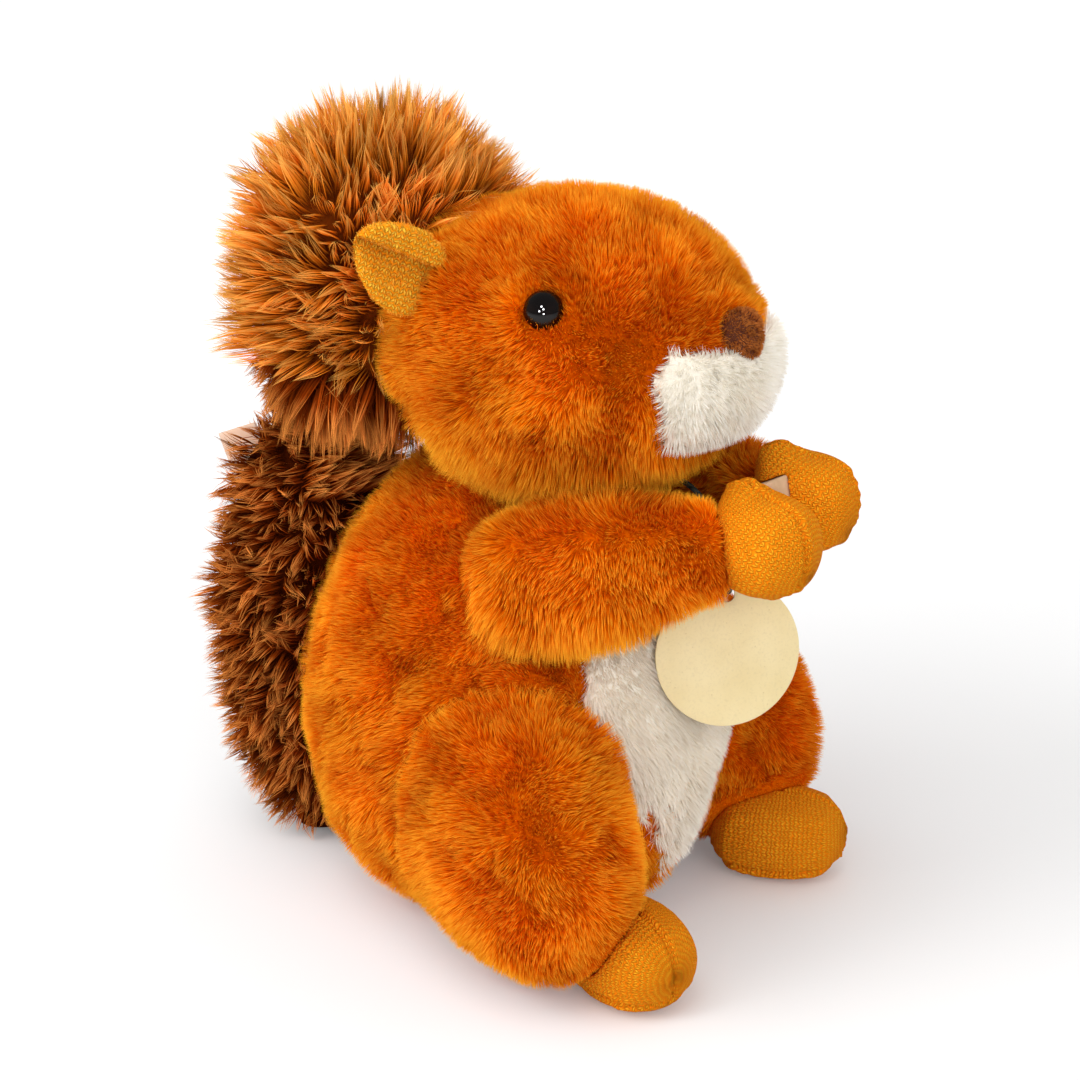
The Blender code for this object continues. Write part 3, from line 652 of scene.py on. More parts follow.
def grow(
    shell,
    name,
    made,
    slot,
    seed,
    density,              # strands on each square millimetre
    length,
    width,
    comb,                 # a function of the roots and normals that gives the lie of the pile
    lean,                 # how much the tips follow the comb
    sway,                 # how much patches of pile lean their own way
    frizz,                # how much each strand strays
    tuft,                 # area of one tuft, in square millimetres
    gather,               # how far tips close up in a tuft
    patch=0.022,          # size of the patches that sway together
    sag=0.10,             # how far the tips hang by their own weight
    uneven=0.25,          # how much shorter than the longest a strand can be
    loose=0.65,           # how far the loosest strand keeps out of its tuft
    pinch=1.0,            # above 1, a tuft closes up only near its tip
    tuft_tone=0.0,        # how much one tuft differs in tone from the next
    fringe=None,          # a function that marks from 0 to 1 where the pile hangs in a long fringe
    clear=0.0026,         # within this distance of bare pieces the pile is short
    trim=0.45,            # how much shorter it is there
    stations=3,           # points along each strand
    only=None,            # a function that marks the roots to keep
):
    chance = np.random.default_rng(seed)
    roots, normals, bare, away = scatter(shell, density, chance)
    if only:
        kept = only(roots)
        roots, normals, bare, away = roots[kept], normals[kept], bare[kept], away[kept]
    count = len(roots)
    lie = comb(roots, normals)
    lie -= normals * (lie * normals).sum(axis=1)[:, None]
    patches = drift(roots, patch, seed + 1) + 0.5 * drift(roots, patch * 0.35, seed + 2)
    near = 1.0 - ease(bare / clear)
    hang = fringe(roots) if fringe else np.zeros(count)

    # A strand leaves its root in one direction, low, and ends in another, high.
    low = unit(normals + lie * lean * 0.5 + patches * sway * 0.4 + away * near[:, None] * 0.3)
    stray = chance.normal(size=(count, 3)) * frizz
    high = normals * 0.85 + lie * lean * 1.6 + patches * sway + stray
    high += away * near[:, None] * 0.4
    high[:, 2] -= sag + FRINGE_DROP * hang
    high = unit(high)
    long = length * (1.0 - uneven * chance.random(count)) * (1.0 - trim * near)
    long *= 1.0 - LOW_TRIM * ease((LOW_PILE - roots[:, 2]) / LOW_PILE)
    long *= 1.0 + 0.10 * drift(roots, patch * 1.3, seed + 3)[:, 0] + FRINGE_GROWTH * hang
    steps = np.linspace(0.0, 1.0, stations)
    line = np.empty((count, stations, 3))
    line[:, 0] = roots - normals * ROOT_DEPTH
    for station in range(1, stations):
        share = (steps[station] + steps[station - 1]) / 2.0
        heading = unit(low * (1.0 - share) + high * share)
        line[:, station] = line[:, station - 1] + heading * (long / (stations - 1))[:, None]

    leaders = max(2, int(count / (density * tuft)))
    leader = gather_tufts(line, roots, long, leaders, chance, gather, loose, pinch)
    line[:, 1:, 2] = np.maximum(line[:, 1:, 2], GROUND_GAP)
    side = half_widths(line, normals, width, chance)
    tone = 0.45 * drift(roots, patch * 1.6, seed + 4)[:, 1] + chance.normal(size=count) * 0.40
    tone += tuft_tone * chance.normal(size=leaders)[leader]
    # Painted glints: a few strands get a much paler tone.
    tone[chance.random(count) < GLINT_STRAND_SHARE] = GLINT_STRAND_TONE
    pile = blades(name, line, side, tone, made)
    STRANDS["blades"] += count
    STRANDS["triangles"] += len(pile.data.polygons)
    print(name, count, "strands,", len(pile.data.polygons), "triangles")


# %% [markdown]
# ## Materials of the pile and its backing
# One node group colours every pile. It reads how far along the strand a point is, and blends
# from a dark, rich root to a pale tip, because the tips catch the light and the roots sit in
# shade. The tone makes one strand lighter than the next and whole patches warmer or deeper.

# %% The colour of a strand


def strand_group():
    inputs = [
        ("Root", COLOUR, (0.4, 0.1, 0.0, 1.0)),
        ("Middle", COLOUR, (0.6, 0.2, 0.0, 1.0)),
        ("Tip", COLOUR, (0.9, 0.4, 0.1, 1.0)),
        ("Contrast", NUMBER, 0.25),
    ]
    tree, graph, given, result = new_group("strand_colour", inputs, [("Color", COLOUR)])
    along = graph.add("ShaderNodeAttribute", attribute_name="along").outputs["Fac"]
    tone = graph.add("ShaderNodeAttribute", attribute_name="tone").outputs["Fac"]
    lower = graph.mix(graph.span(along, 0.0, 0.55), given["Root"], given["Middle"])
    colour = graph.mix(graph.span(along, 0.55, 0.95), lower, given["Tip"])
    change = graph.math("MULTIPLY", tone, given["Contrast"])
    value = graph.math("ADD", change, 1.0)
    shifted = graph.add("ShaderNodeHueSaturation", {"Value": value, "Color": colour})
    graph.fill(result["Color"], shifted.outputs[0])
    return tree


STRAND_COLOUR = strand_group()


def pile_material(name, root, middle, tip, contrast=0.10):
    made, graph, shader = new_material(name, rough=0.7, shine=0.0)
    values = {"Root": (*root, 1.0), "Middle": (*middle, 1.0), "Tip": (*tip, 1.0)}
    group = graph.add("ShaderNodeGroup", node_tree=STRAND_COLOUR)
    for key, value in values.items():
        group.inputs[key].default_value = value
    group.inputs["Contrast"].default_value = contrast
    graph.fill(shader.inputs["Base Color"], group.outputs[0])
    return made


def backing_material(name, colour, dark):
    """Woven backing cloth: seen only between the strands."""
    made, graph, shader = new_material(name, rough=0.9, shine=0.0)
    place = graph.place()
    share = graph.math("MULTIPLY", graph.span(graph.noise(place, 90.0, 4.0), 0.3, 0.7), 0.8)
    tint = graph.mix(share, (*colour, 1.0), (*dark, 1.0))
    graph.fill(shader.inputs["Base Color"], tint)
    graph.emboss(shader, graph.cells(place, 900.0), 0.6, 0.0005)
    return made


# Each backing has about the colour of its pile's roots. Under the orange, tan and brown pile those
# roots are darker, so the backing carries the same painted shade between the strands.
ORANGE_BACKING = backing_material("orange_backing", (0.68, 0.13, 0.0005), (0.60, 0.10, 0.0004))
WHITE_BACKING = backing_material("white_backing", (0.95, 0.90, 0.80), (0.93, 0.87, 0.76))
TAN_BACKING = backing_material("tan_backing", (0.18, 0.035, 0.003), (0.10, 0.018, 0.002))
BROWN_BACKING = backing_material("brown_backing", (0.06, 0.009, 0.001), (0.035, 0.005, 0.001))
ORANGE_PILE = pile_material(
    "orange_pile", (0.70, 0.120, 0.0003), (0.90, 0.195, 0.0005), (1.0, 0.48, 0.030),
)
# A warmer copy of the white pile: its warmth is painted bounce light from the orange fur round the
# belly.
BOUNCE_TINTED_BELLY_PILE = pile_material(
    "belly_pile", (0.93, 0.82, 0.67), (0.96, 0.88, 0.76), (0.98, 0.93, 0.85), 0.02,
)
WHITE_PILE = pile_material(
    "white_pile", (0.97, 0.92, 0.81), (0.98, 0.94, 0.86), (0.98, 0.96, 0.90), 0.02,
)
TAN_PILE = pile_material(
    "tan_pile", (0.16, 0.022, 0.0005), (0.86, 0.28, 0.018), (0.98, 0.56, 0.13), 0.20,
)
BROWN_PILE = pile_material(
    "brown_pile", (0.05, 0.006, 0.0005), (0.28, 0.045, 0.003), (0.80, 0.30, 0.06), 0.26,
)
print("pile materials are ready")

# %% [markdown]
# ## Torso, head and limbs
# These are the orange cushions. What differs is only the lie of the pile: it falls down the
# back, it flows away from the nose on the head, it hangs from the arms, and on the thighs it
# spreads from the hip. A comb is a function that gives that direction at any root.

# %% The lie of the pile


def down(roots, normals):
    return np.tile([0.0, 0.0, -1.0], (len(roots), 1))


def away_from(point):
    """Pile that flows away from one point, such as the nose."""
    centre = np.array(point)
    return lambda roots, normals: unit(roots - centre)


def box_middle(node):
    low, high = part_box(node)
    return (low + high) / 2.0


def band(axis, start, stop):
    """Marks the roots that lie beyond a level along one axis, from 0 at start to 1 at stop."""
    return lambda roots: ease((roots[:, axis] - start) / (stop - start))


NOSE = box_middle("nose")
SIDES = ((-1.0, "right"), (1.0, "left"))

# %% Dress the torso and the head
LIMBS = [f"{limb}_{word}" for _, word in SIDES for limb in ("thigh", "arm")]
TRIM = [f"{part}_{word}" for _, word in SIDES for part in ("ear", "eye")]
BODY_DEPTH = 0.0027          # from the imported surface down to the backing
BODY_PILE = {
    "stations": 2, "length": 0.0054, "width": 0.00042, "density": 4.2, "sway": 0.20,
    "patch": 0.020, "frizz": 0.16, "tuft": 2.5, "gather": 0.35,
}
CHIN_FRINGE = (0.150, 0.136)         # heights where a fringe begins and where it is full
ARM_FRINGE = (0.112, 0.100)


def orange_cushion(part, side, furry, bare, seed, **pile):
    """The backing and the pile of one orange cushion. Its side is empty, _right or _left."""
    name = f"{part}_shell{side}"
    shell = build_shell(part + side, name, ORANGE_BACKING, BODY_DEPTH, furry, bare)
    grow(shell, f"{part}_pile{side}", ORANGE_PILE, "fur", seed, **BODY_PILE, **pile)


orange_cushion(
    "torso", "", ["head", "tail_lower", "tail_upper"] + LIMBS, ["belly_panel"], 21,
    comb=down, lean=0.10,
)
orange_cushion(
    "head", "", ["torso", "tail_upper", "arm_right", "arm_left"], ["nose", "muzzle"] + TRIM, 22,
    comb=away_from(NOSE), lean=0.20, clear=0.0020, fringe=band(2, *CHIN_FRINGE),
)

# %% Dress the arms and the thighs
for side, word in SIDES:
    orange_cushion(
        "arm", "_" + word, ["torso", "head"], ["paw_" + word], 23,
        comb=down, lean=0.22, sag=0.20, fringe=band(2, *ARM_FRINGE),
    )
    low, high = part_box("thigh_" + word)
    hip = ((low.x if side < 0 else high.x), (low.y + high.y) / 2.0, (low.z + high.z) / 2.0)
    orange_cushion(
        "thigh", "_" + word, ["torso", "belly_panel"], ["foot_" + word], 25,
        comb=away_from(hip), lean=0.20, clear=0.0070, trim=0.75,
    )

# %% [markdown]
# ## Muzzle and belly
# The white plush is shorter. Its strands hardly differ in tone, so the light alone models the
# shape. The belly's pile is warmer than the muzzle's, and that warmth is painted bounce light from
# the orange fur round it.

# %% Dress the white panels
WHITE_DEPTH = 0.0016
WHITE_VOXEL = 0.0020

muzzle = build_shell(
    "muzzle", "muzzle_shell", WHITE_BACKING, WHITE_DEPTH, ["head"], ["nose"],
    voxel=WHITE_VOXEL,
)
grow(
    muzzle, "muzzle_pile", WHITE_PILE, "white_plush", 31, comb=away_from(NOSE), lean=0.40,
    density=3.2, length=0.0038, width=0.00042, stations=2, sway=0.16, frizz=0.16, gather=0.25,
    tuft=2.5,
)
belly = build_shell(
    "belly_panel", "belly_shell", WHITE_BACKING, WHITE_DEPTH, ["torso"] + LIMBS,
    voxel=WHITE_VOXEL,
)
grow(
    belly, "belly_pile", BOUNCE_TINTED_BELLY_PILE, "white_plush", 32, comb=down, lean=0.6,
    density=4.0, length=0.0042, width=0.00042, stations=2, sway=0.14, frizz=0.14, gather=0.25,
    tuft=2.5,
)

# %% [markdown]
# ## The tail
# Both lobes have long pile that has gathered into pointed locks with dark gaps between them; the
# dark roots and the dark backing paint the shade in those gaps. The same strands make them:
# longer, with two bends on their way, and with a strong gather. The pinch between the lobes is
# brown like the lower one, and one more set of locks grows forward over the nape, where the
# tail, the head and the torso meet.

# %% Dress the tail
LOCKS = {"gather": 0.99, "loose": 0.20, "pinch": 1.3, "tuft_tone": 0.7, "stations": 4}
TAIL_VOXEL = 0.004
UPPER_DEPTH = 0.0085
LOWER_DEPTH = 0.0048
TAIL_HEART = (0.0, 0.03, 0.13)       # the tan locks point away from here
PINCH_TOP = 0.156            # above this the locks of the upper lobe are tan, below it brown
PINCH_FRINGE = (0.070, 0.054)        # the brown ones hang longer toward the torso
NAPE = np.array([0.0, 0.026, 0.134])     # where the tail, the head and the torso meet
NAPE_BOTTOM = 0.108
NAPE_BACK = 0.072


def over_nape(roots):
    """Marks the roots of the lower lobe that are near the nape."""
    return (roots[:, 2] > NAPE_BOTTOM) & (roots[:, 1] < NAPE_BACK)


tail_top = build_shell(
    "tail_upper", "tail_upper_shell", TAN_BACKING, UPPER_DEPTH,
    ["head", "torso", "tail_lower"], voxel=TAIL_VOXEL, rounds=14,
)
grow(
    tail_top, "tail_upper_locks", TAN_PILE, "tail_fur_tan", 41, comb=away_from(TAIL_HEART),
    density=1.8, length=0.0165, width=0.00036, lean=0.20, sway=0.16, patch=0.012, frizz=0.05,
    tuft=5.0, sag=-0.02, uneven=0.22, only=lambda roots: roots[:, 2] > PINCH_TOP, **LOCKS,
)
grow(
    tail_top, "tail_pinch_locks", BROWN_PILE, "tail_fur_brown", 43, comb=down,
    density=1.8, length=0.0125, width=0.00038, lean=0.20, sway=0.22, patch=0.012, frizz=0.06,
    tuft=5.5, sag=0.20, uneven=0.22, only=lambda roots: roots[:, 2] <= PINCH_TOP,
    fringe=lambda roots: 0.8 * band(1, *PINCH_FRINGE)(roots), **LOCKS,
)
tail_low = build_shell(
    "tail_lower", "tail_lower_shell", BROWN_BACKING, LOWER_DEPTH,
    ["torso", "tail_upper"], ["care_label"], voxel=TAIL_VOXEL, rounds=12,
)
grow(
    tail_low, "tail_lower_locks", BROWN_PILE, "tail_fur_brown", 42, comb=down,
    density=1.8, length=0.0125, width=0.00038, lean=0.15, sway=0.30, patch=0.010, frizz=0.08,
    tuft=5.5, sag=0.02, uneven=0.30, **LOCKS,
)
grow(
    tail_low, "tail_nape_locks", BROWN_PILE, "tail_fur_brown", 44,
    comb=lambda roots, normals: unit(NAPE - roots),
    density=1.6, length=0.0170, width=0.00038, lean=0.9, sway=0.10, patch=0.010, frizz=0.10,
    tuft=5.5, sag=0.0, uneven=0.30, only=over_nape, **LOCKS,
)
print("all strands:", STRANDS)

# %% [markdown]
# ## Knitted paws and feet
# Paws and feet are sewn from a thin knit without pile, so their surface shows: columns of small
# V stitches, not quite two millimetres wide, with gaps painted darker as shade, and pressed-in
# seams with puckered edges.
# The seams are moved into the mesh itself. The knit is finer than any mesh should be, so each
# piece keeps on its vertices how far round and along the knit they lie, and the material draws
# the stitches from those two numbers.

# %% The knit as a node group
THREAD_WANDER = 0.0014       # how far the noise pulls the threads out of line
STITCH_SLANT = 0.6           # how far the arms of a V reach along its column, in rows


def knit_group():
    inputs = [
        ("Thread", COLOUR, (0.94, 0.36, 0.04, 1.0)),
        ("Shaded gap", COLOUR, (0.66, 0.17, 0.006, 1.0)),
        ("Columns", NUMBER, 720.0),
        ("Rows", NUMBER, 900.0),
    ]
    tree, graph, given, result = new_group("knit_net", inputs, [("Color", COLOUR), ("Height", NUMBER)])
    run = graph.add("ShaderNodeAttribute", attribute_name="threads").outputs["Vector"]
    place = graph.place()
    wander = graph.add("ShaderNodeTexNoise", {"Vector": place, "Scale": 420.0, "Detail": 1.0})
    centre = {0: wander.outputs["Color"], 1: (0.5, 0.5, 0.5)}
    centred = graph.add("ShaderNodeVectorMath", centre, operation="SUBTRACT")
    shift = graph.add("ShaderNodeVectorMath", operation="SCALE")
    graph.fill(shift.inputs[0], centred.outputs[0])
    graph.fill(shift.inputs["Scale"], THREAD_WANDER)
    moved = graph.add("ShaderNodeVectorMath", {0: run, 1: shift.outputs[0]}, operation="ADD")
    split = graph.add("ShaderNodeSeparateXYZ", {0: moved.outputs[0]})
    column = graph.math("FRACT", graph.math("MULTIPLY", split.outputs[0], given["Columns"]))
    ridge = graph.math("ABSOLUTE", graph.math("SUBTRACT", graph.math("MULTIPLY", column, 2.0), 1.0))
    row = graph.math("MULTIPLY", split.outputs[1], given["Rows"])
    row = graph.math("ADD", row, graph.math("MULTIPLY", ridge, STITCH_SLANT))
    wave = graph.math("SINE", graph.math("MULTIPLY", row, math.tau))
    thread = graph.math("MULTIPLY", graph.span(wave, -0.9, 0.5), graph.span(ridge, 1.0, 0.70))
    thread = graph.math("MULTIPLY", thread, graph.span(ridge, 0.0, 0.22, 0.45, 1.0))
    worn = graph.span(graph.noise(place, 140.0, 3.0), 0.35, 0.7, 0.0, 0.35)
    lit = graph.mix(worn, given["Thread"], given["Shaded gap"])
    # Where no thread lies, the darker gap colour shows: painted shade in the hollows between stitches.
    graph.fill(result["Color"], graph.mix(thread, given["Shaded gap"], lit))
    graph.fill(result["Height"], thread)
    return tree


KNIT_NET = knit_group()


def knit_material(name, thread, gap, columns=540.0, rows=740.0, depth=0.0006):
    """Knit cloth. Columns and rows are stitches to a metre, and depth is that of the gaps."""
    # The gap colour is painted shade in the hollows between the stitches.
    made, graph, shader = new_material(name, shine=0.03)
    net = graph.add("ShaderNodeGroup", node_tree=KNIT_NET)
    net.inputs["Thread"].default_value = (*thread, 1.0)
    net.inputs["Shaded gap"].default_value = (*gap, 1.0)
    net.inputs["Columns"].default_value = columns
    net.inputs["Rows"].default_value = rows
    graph.fill(shader.inputs["Base Color"], net.outputs["Color"])
    graph.emboss(shader, net.outputs["Height"], 1.0, depth)
    return made


def store_threads(mesh, across, along):
    """Keep on every vertex how far across and how far along the knit it lies, in metres."""
    values = np.stack([across, along, np.zeros(len(across))], axis=1)
    layer = mesh.attributes.new("threads", "FLOAT_VECTOR", "POINT")
    layer.data.foreach_set("vector", values.ravel())


def wrap_threads(mesh, heading):
    """Knit that runs round a stuffed piece, like the grid on a globe whose axis is the heading."""
    places, _ = vertex_arrays(mesh)
    local = places - (places.min(axis=0) + places.max(axis=0)) / 2.0
    forward = unit(np.array([heading]))[0]
    side = unit(np.cross([forward], [[0.0, 0.0, 1.0]]))[0]
    top = np.cross(side, forward)
    x, y, z = local @ side, local @ top, local @ forward
    size = np.linalg.norm(local, axis=1).mean()
    store_threads(mesh, np.arctan2(x, y) * size, np.arctan2(z, np.hypot(x, y)) * size)


# Thread colour, then the darker gap colour, which is painted shade.
KNIT = knit_material("orange_knit", (1.0, 0.41, 0.014), (0.95, 0.23, 0.002))

# %% Press a seam into a mesh
KNIT_VOXEL = 0.0007
SEAM_WIDTH = 0.0008
SEAM_DEPTH = 0.0014
PUCKER = 0.0024              # from one pucker of the lips to the next
LIP_HEIGHT, PUCKER_HEIGHT = 0.25, 0.15   # shares of the depth
TURN_RADIUS = 0.012          # round an end of the piece, puckers are counted on this radius


def press_seam(mesh, point, across, low=-1.0):
    """Sink a line where a plane meets the mesh above a height, and raise and pucker its lips."""
    places, normals = vertex_arrays(mesh)
    across = np.array(across) / np.linalg.norm(across)
    beside = (places - np.array(point)) @ across
    groove = np.exp(-((beside / SEAM_WIDTH) ** 2))
    lips = np.exp(-(((np.abs(beside) - 2.2 * SEAM_WIDTH) / SEAM_WIDTH) ** 2))
    run = np.linalg.norm(np.cross(places - np.array(point), across), axis=1)
    angle = np.arctan2(places[:, 2] - point[2], run)
    wave = np.sin((run + TURN_RADIUS * angle) * math.tau / PUCKER)
    open_part = places[:, 2] > low
    change = (lips * (LIP_HEIGHT + PUCKER_HEIGHT * wave) - groove) * SEAM_DEPTH * open_part
    move_vertices(mesh, places + normals * change[:, None])


def knit_piece(node, name, seams, heading):
    """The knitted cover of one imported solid, with its seams."""
    piece = new_piece(name, merged_copy(node), KNIT)
    remesh(piece, KNIT_VOXEL, 2)
    wrap_threads(piece.data, heading)
    for seam in seams:
        press_seam(piece.data, **seam)
    places, _ = vertex_arrays(piece.data)
    places[:, 2] = np.maximum(places[:, 2], 0.0)
    move_vertices(piece.data, places)
    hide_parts(node)
    print(name, len(piece.data.polygons), "squares")


# %% Sew the paws and the feet
FOOT_SPLAY = math.radians(22)
PAW_TURN = math.radians(16)
SOLE_SEAM = 0.0046           # height of the seam round the sole
FINGERS = Vector((0.0, -0.86, -0.50))    # the way that the paws point

for side, word in SIDES:
    middle = box_middle("foot_" + word)
    splay = Matrix.Rotation(side * FOOT_SPLAY, 3, "Z") @ Vector((1.0, 0.0, 0.0))
    seams = [
        {"point": middle, "across": splay, "low": SOLE_SEAM},
        {"point": (middle.x, middle.y, SOLE_SEAM), "across": (0.0, 0.0, 1.0)},
    ]
    toes = splay.cross(Vector((0.0, 0.0, 1.0)))
    knit_piece("foot_" + word, "foot_knit_" + word, seams, toes)
    middle = box_middle("paw_" + word)
    turn = Matrix.Rotation(side * PAW_TURN, 3, "Z") @ Vector((1.0, 0.0, 0.0))
    seams = [{"point": middle, "across": turn}]
    knit_piece("paw_" + word, "paw_knit_" + word, seams, FINGERS)

# %% [markdown]
# ## Ears and nose
# The ears are cut from towelling, which has the same stitches in deeper relief, and a short fuzz
# that blurs their edge. Their upper strip is rolled forward along a fold. The nose is a little
# cushion of brown plush that is clipped very short.

# %% Dress the ears
EAR_DROP = 0.0040            # the left ear is sewn on lower by this much
# The towelling's darker gap colour is painted shade too.
TERRY = knit_material("ear_towelling", (1.0, 0.58, 0.05), (1.0, 0.32, 0.004), 560.0, 700.0, 0.0008)
EAR_FUZZ = pile_material("ear_fuzz", (0.80, 0.24, 0.006), (0.95, 0.38, 0.025), (0.97, 0.52, 0.08), 0.10)
EAR_FOLD = ((0.0499, 0.0158, 0.1954), (0.0401, 0.0086, 0.1896))   # two points of the fold
EAR_FRONT = (0.63, -0.77, -0.13)     # the way that the cup of the left ear faces
EAR_SINK = 0.0016            # the left ear sits this much deeper in its pile
FOLD_DEPTH = 0.0030          # how far the leaf sinks just under the fold
FOLD_ROLL = 0.0024           # how far the strip above it comes forward
FOLD_WIDTH = 0.0014
FOLD_FADE = 0.004            # under the fold the leaf comes back over this distance


def fold_ear(mesh, side, drop):
    """Roll the strip of the ear above the fold forward, and sink the leaf just under it."""
    flip = np.array([side, 1.0, 1.0])
    tip, root = (np.array(point) * flip - np.array([0.0, 0.0, drop]) for point in EAR_FOLD)
    front = np.array(EAR_FRONT) * flip
    above = unit(np.cross(front, root - tip)[None])[0]
    above *= np.sign(above[2])
    places, normals = vertex_arrays(mesh)
    beside = (places - tip) @ above
    shown = ease(normals @ front / 0.5)
    over = ease(beside / FOLD_WIDTH + 0.5)
    under = (1.0 - over) * np.exp(np.minimum(beside, 0.0) / FOLD_FADE)
    change = (FOLD_ROLL * over - FOLD_DEPTH * under) * shown
    store_threads(mesh, (places - tip) @ unit((root - tip)[None])[0], beside)
    moved = places + front * change[:, None]
    if drop:
        moved[:, 2] -= EAR_SINK
    move_vertices(mesh, moved)


for side, word in SIDES:
    ear = build_shell(
        "ear_" + word, "ear_cloth_" + word, TERRY, 0.0, ["head"],
        voxel=KNIT_VOXEL, rounds=2,
    )
    fold_ear(ear["piece"].data, side, 0.0 if side < 0 else EAR_DROP)
    grow(
        ear, "ear_fuzz_" + word, EAR_FUZZ, "ear_cloth", 51, comb=down, lean=0.0, density=3.0,
        length=0.0012, width=0.00022, sway=0.4, frizz=0.5, patch=0.004, gather=0.3, tuft=1.0,
    )

# %% Dress the nose
NOSE_PILE = pile_material(
    "nose_pile", (0.24, 0.060, 0.012), (0.46, 0.13, 0.025), (0.56, 0.20, 0.05), 0.14,
)
# Darker than the nose pile above it: painted shade between the strands.
NOSE_BACKING = backing_material("nose_backing", (0.16, 0.055, 0.03), (0.10, 0.03, 0.015))
nose = build_shell(
    "nose", "nose_shell", NOSE_BACKING, 0.0006, ["head", "muzzle"], voxel=0.0008,
)
grow(
    nose, "nose_pile", NOSE_PILE, "nose_felt", 52, comb=down, lean=0.15, density=12.0,
    length=0.0016, width=0.00022, sway=0.3, frizz=0.35, patch=0.004, gather=0.3, tuft=0.8,
)

# %% [markdown]
# ## Eyes
# The eyes are glossy black plastic domes on posts. A profile is spun about the eye's own axis,
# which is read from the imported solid: its longest direction runs along the post. The coat layer
# gives the sharp highlights. Inside the head a washer grips each post. It keeps its own solid.

# %% Build the eyes
EYE_STEPS = 48
DOME_STEPS = 14
EYE_RADIUS = 0.0050
DOME_HEIGHT = 0.0043
SKIRT = 0.0022               # how far the rim of the dome runs down into the pile


def node_axes(node):
    """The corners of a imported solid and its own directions, longest first."""
    places, _ = vertex_arrays(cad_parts[node].data)
    _, _, directions = np.linalg.svd(places - places.mean(axis=0), full_matrices=False)
    return places, directions


def eye_material():
    made, graph, shader = new_material(
        "eye_plastic", rough=0.10, shine=0.0, coat_weight=0.7, coat_roughness=0.02
    )
    place = graph.place()
    share = graph.span(graph.noise(place, 260.0, 4.0), 0.45, 0.75)
    tint = graph.mix(share, (0.002, 0.001, 0.001, 1.0), (0.008, 0.003, 0.002, 1.0))
    graph.fill(shader.inputs["Base Color"], tint)
    rough = graph.span(graph.noise(place, 1500.0), 0.3, 0.7, 0.05, 0.12)
    graph.fill(shader.inputs["Roughness"], rough)
    return made


def washer_material():
    made, graph, shader = new_material("washer_plastic", rough=0.45)
    grain = graph.noise(graph.place(), 900.0)
    tint = graph.mix(grain, (0.70, 0.70, 0.67, 1.0), (0.80, 0.80, 0.77, 1.0))
    graph.fill(shader.inputs["Base Color"], tint)
    return made


def build_eye(word, made):
    places, directions = node_axes("eye_" + word)
    outward = Vector(directions[0])
    heart = box_middle("head")
    if outward.dot(box_middle("eye_" + word) - heart) < 0.0:
        outward.negate()
    along = places @ np.array(outward)
    apex = float(along.max())
    across = places - along[:, None] * np.array(outward)
    foot = across.mean(axis=0)
    base = Vector(foot) + outward * (apex - DOME_HEIGHT)
    turns = [math.pi / 2.0 * step / DOME_STEPS for step in range(DOME_STEPS + 1)]
    profile = [(0.0, -SKIRT), (EYE_RADIUS * 0.7, -SKIRT), (EYE_RADIUS, -SKIRT * 0.5)]
    profile += [(EYE_RADIUS * math.cos(turn), DOME_HEIGHT * math.sin(turn)) for turn in turns[:-1]]
    profile += [(0.0, DOME_HEIGHT)]
    bm = bmesh.new()
    verts = [bm.verts.new((radius, 0.0, height)) for radius, height in profile]
    edges = [bm.edges.new(pair) for pair in zip(verts, verts[1:])]
    bmesh.ops.spin(
        bm, geom=verts + edges, cent=(0.0, 0.0, 0.0), axis=(0.0, 0.0, 1.0), angle=math.tau,
        steps=EYE_STEPS, use_merge=True,
    )
    bmesh.ops.remove_doubles(bm, verts=bm.verts, dist=1e-6)
    bmesh.ops.rotate(bm, verts=bm.verts, matrix=outward.to_track_quat("Z", "Y").to_matrix())
    bmesh.ops.translate(bm, verts=bm.verts, vec=base)
    bmesh.ops.recalc_face_normals(bm, faces=bm.faces)
    eye = new_piece("eye_dome_" + word, bm, made)
    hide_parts("eye_" + word)
    print(eye.name, "looks toward", [round(value, 2) for value in outward])


EYE = eye_material()
WASHER = washer_material()
for _, word in SIDES:
    build_eye(word, EYE)
    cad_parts["eye_washer_" + word].data.materials.clear()
    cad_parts["eye_washer_" + word].data.materials.append(WASHER)

# %% [markdown]
# ## The round card
# The card is thick uncoated paper. Two circles are bridged into a flat ring round its hole, the
# ring is cut into narrow steps so that it can bow a little, and then it gets its thickness and a
# fine bevel on its rims. Fibres and faint flecks keep the bare face from looking like plastic.

# %% Build the card
CARD_RADIUS = 0.0200
CARD_THICK = 0.0006
CARD_HOLE = 0.0020
CARD_HOLE_INSET = 0.0040
CARD_STEPS = 96
CARD_RINGS = 9               # cuts across its flat ring, so that it can bow
CARD_BEVEL = 0.00012
CARD_BOW = 0.0005            # how far its sides bend back from its middle
SHARP_EDGE = 1.0             # radians between two faces


def card_material():
    made, graph, shader = new_material("card_paper", rough=0.72)
    place = graph.place()
    fibre = graph.noise(place, 1400.0, 5.0)
    share = graph.span(graph.noise(place, 60.0, 6.0), 0.35, 0.65)
    tint = graph.mix(share, (0.80, 0.65, 0.33, 1.0), (0.86, 0.72, 0.40, 1.0))
    fine = graph.math("MULTIPLY", graph.span(fibre, 0.5, 0.75), 0.35)
    tint = graph.mix(fine, tint, (0.66, 0.54, 0.30, 1.0))
    flecks = graph.span(graph.cells(place, 420.0), 0.05, 0.11, 1.0, 0.0)
    tint = graph.mix(graph.math("MULTIPLY", flecks, 0.35), tint, (0.50, 0.36, 0.18, 1.0))
    graph.fill(shader.inputs["Base Color"], tint)
    graph.emboss(shader, fibre, 0.35, 0.0002)
    return made


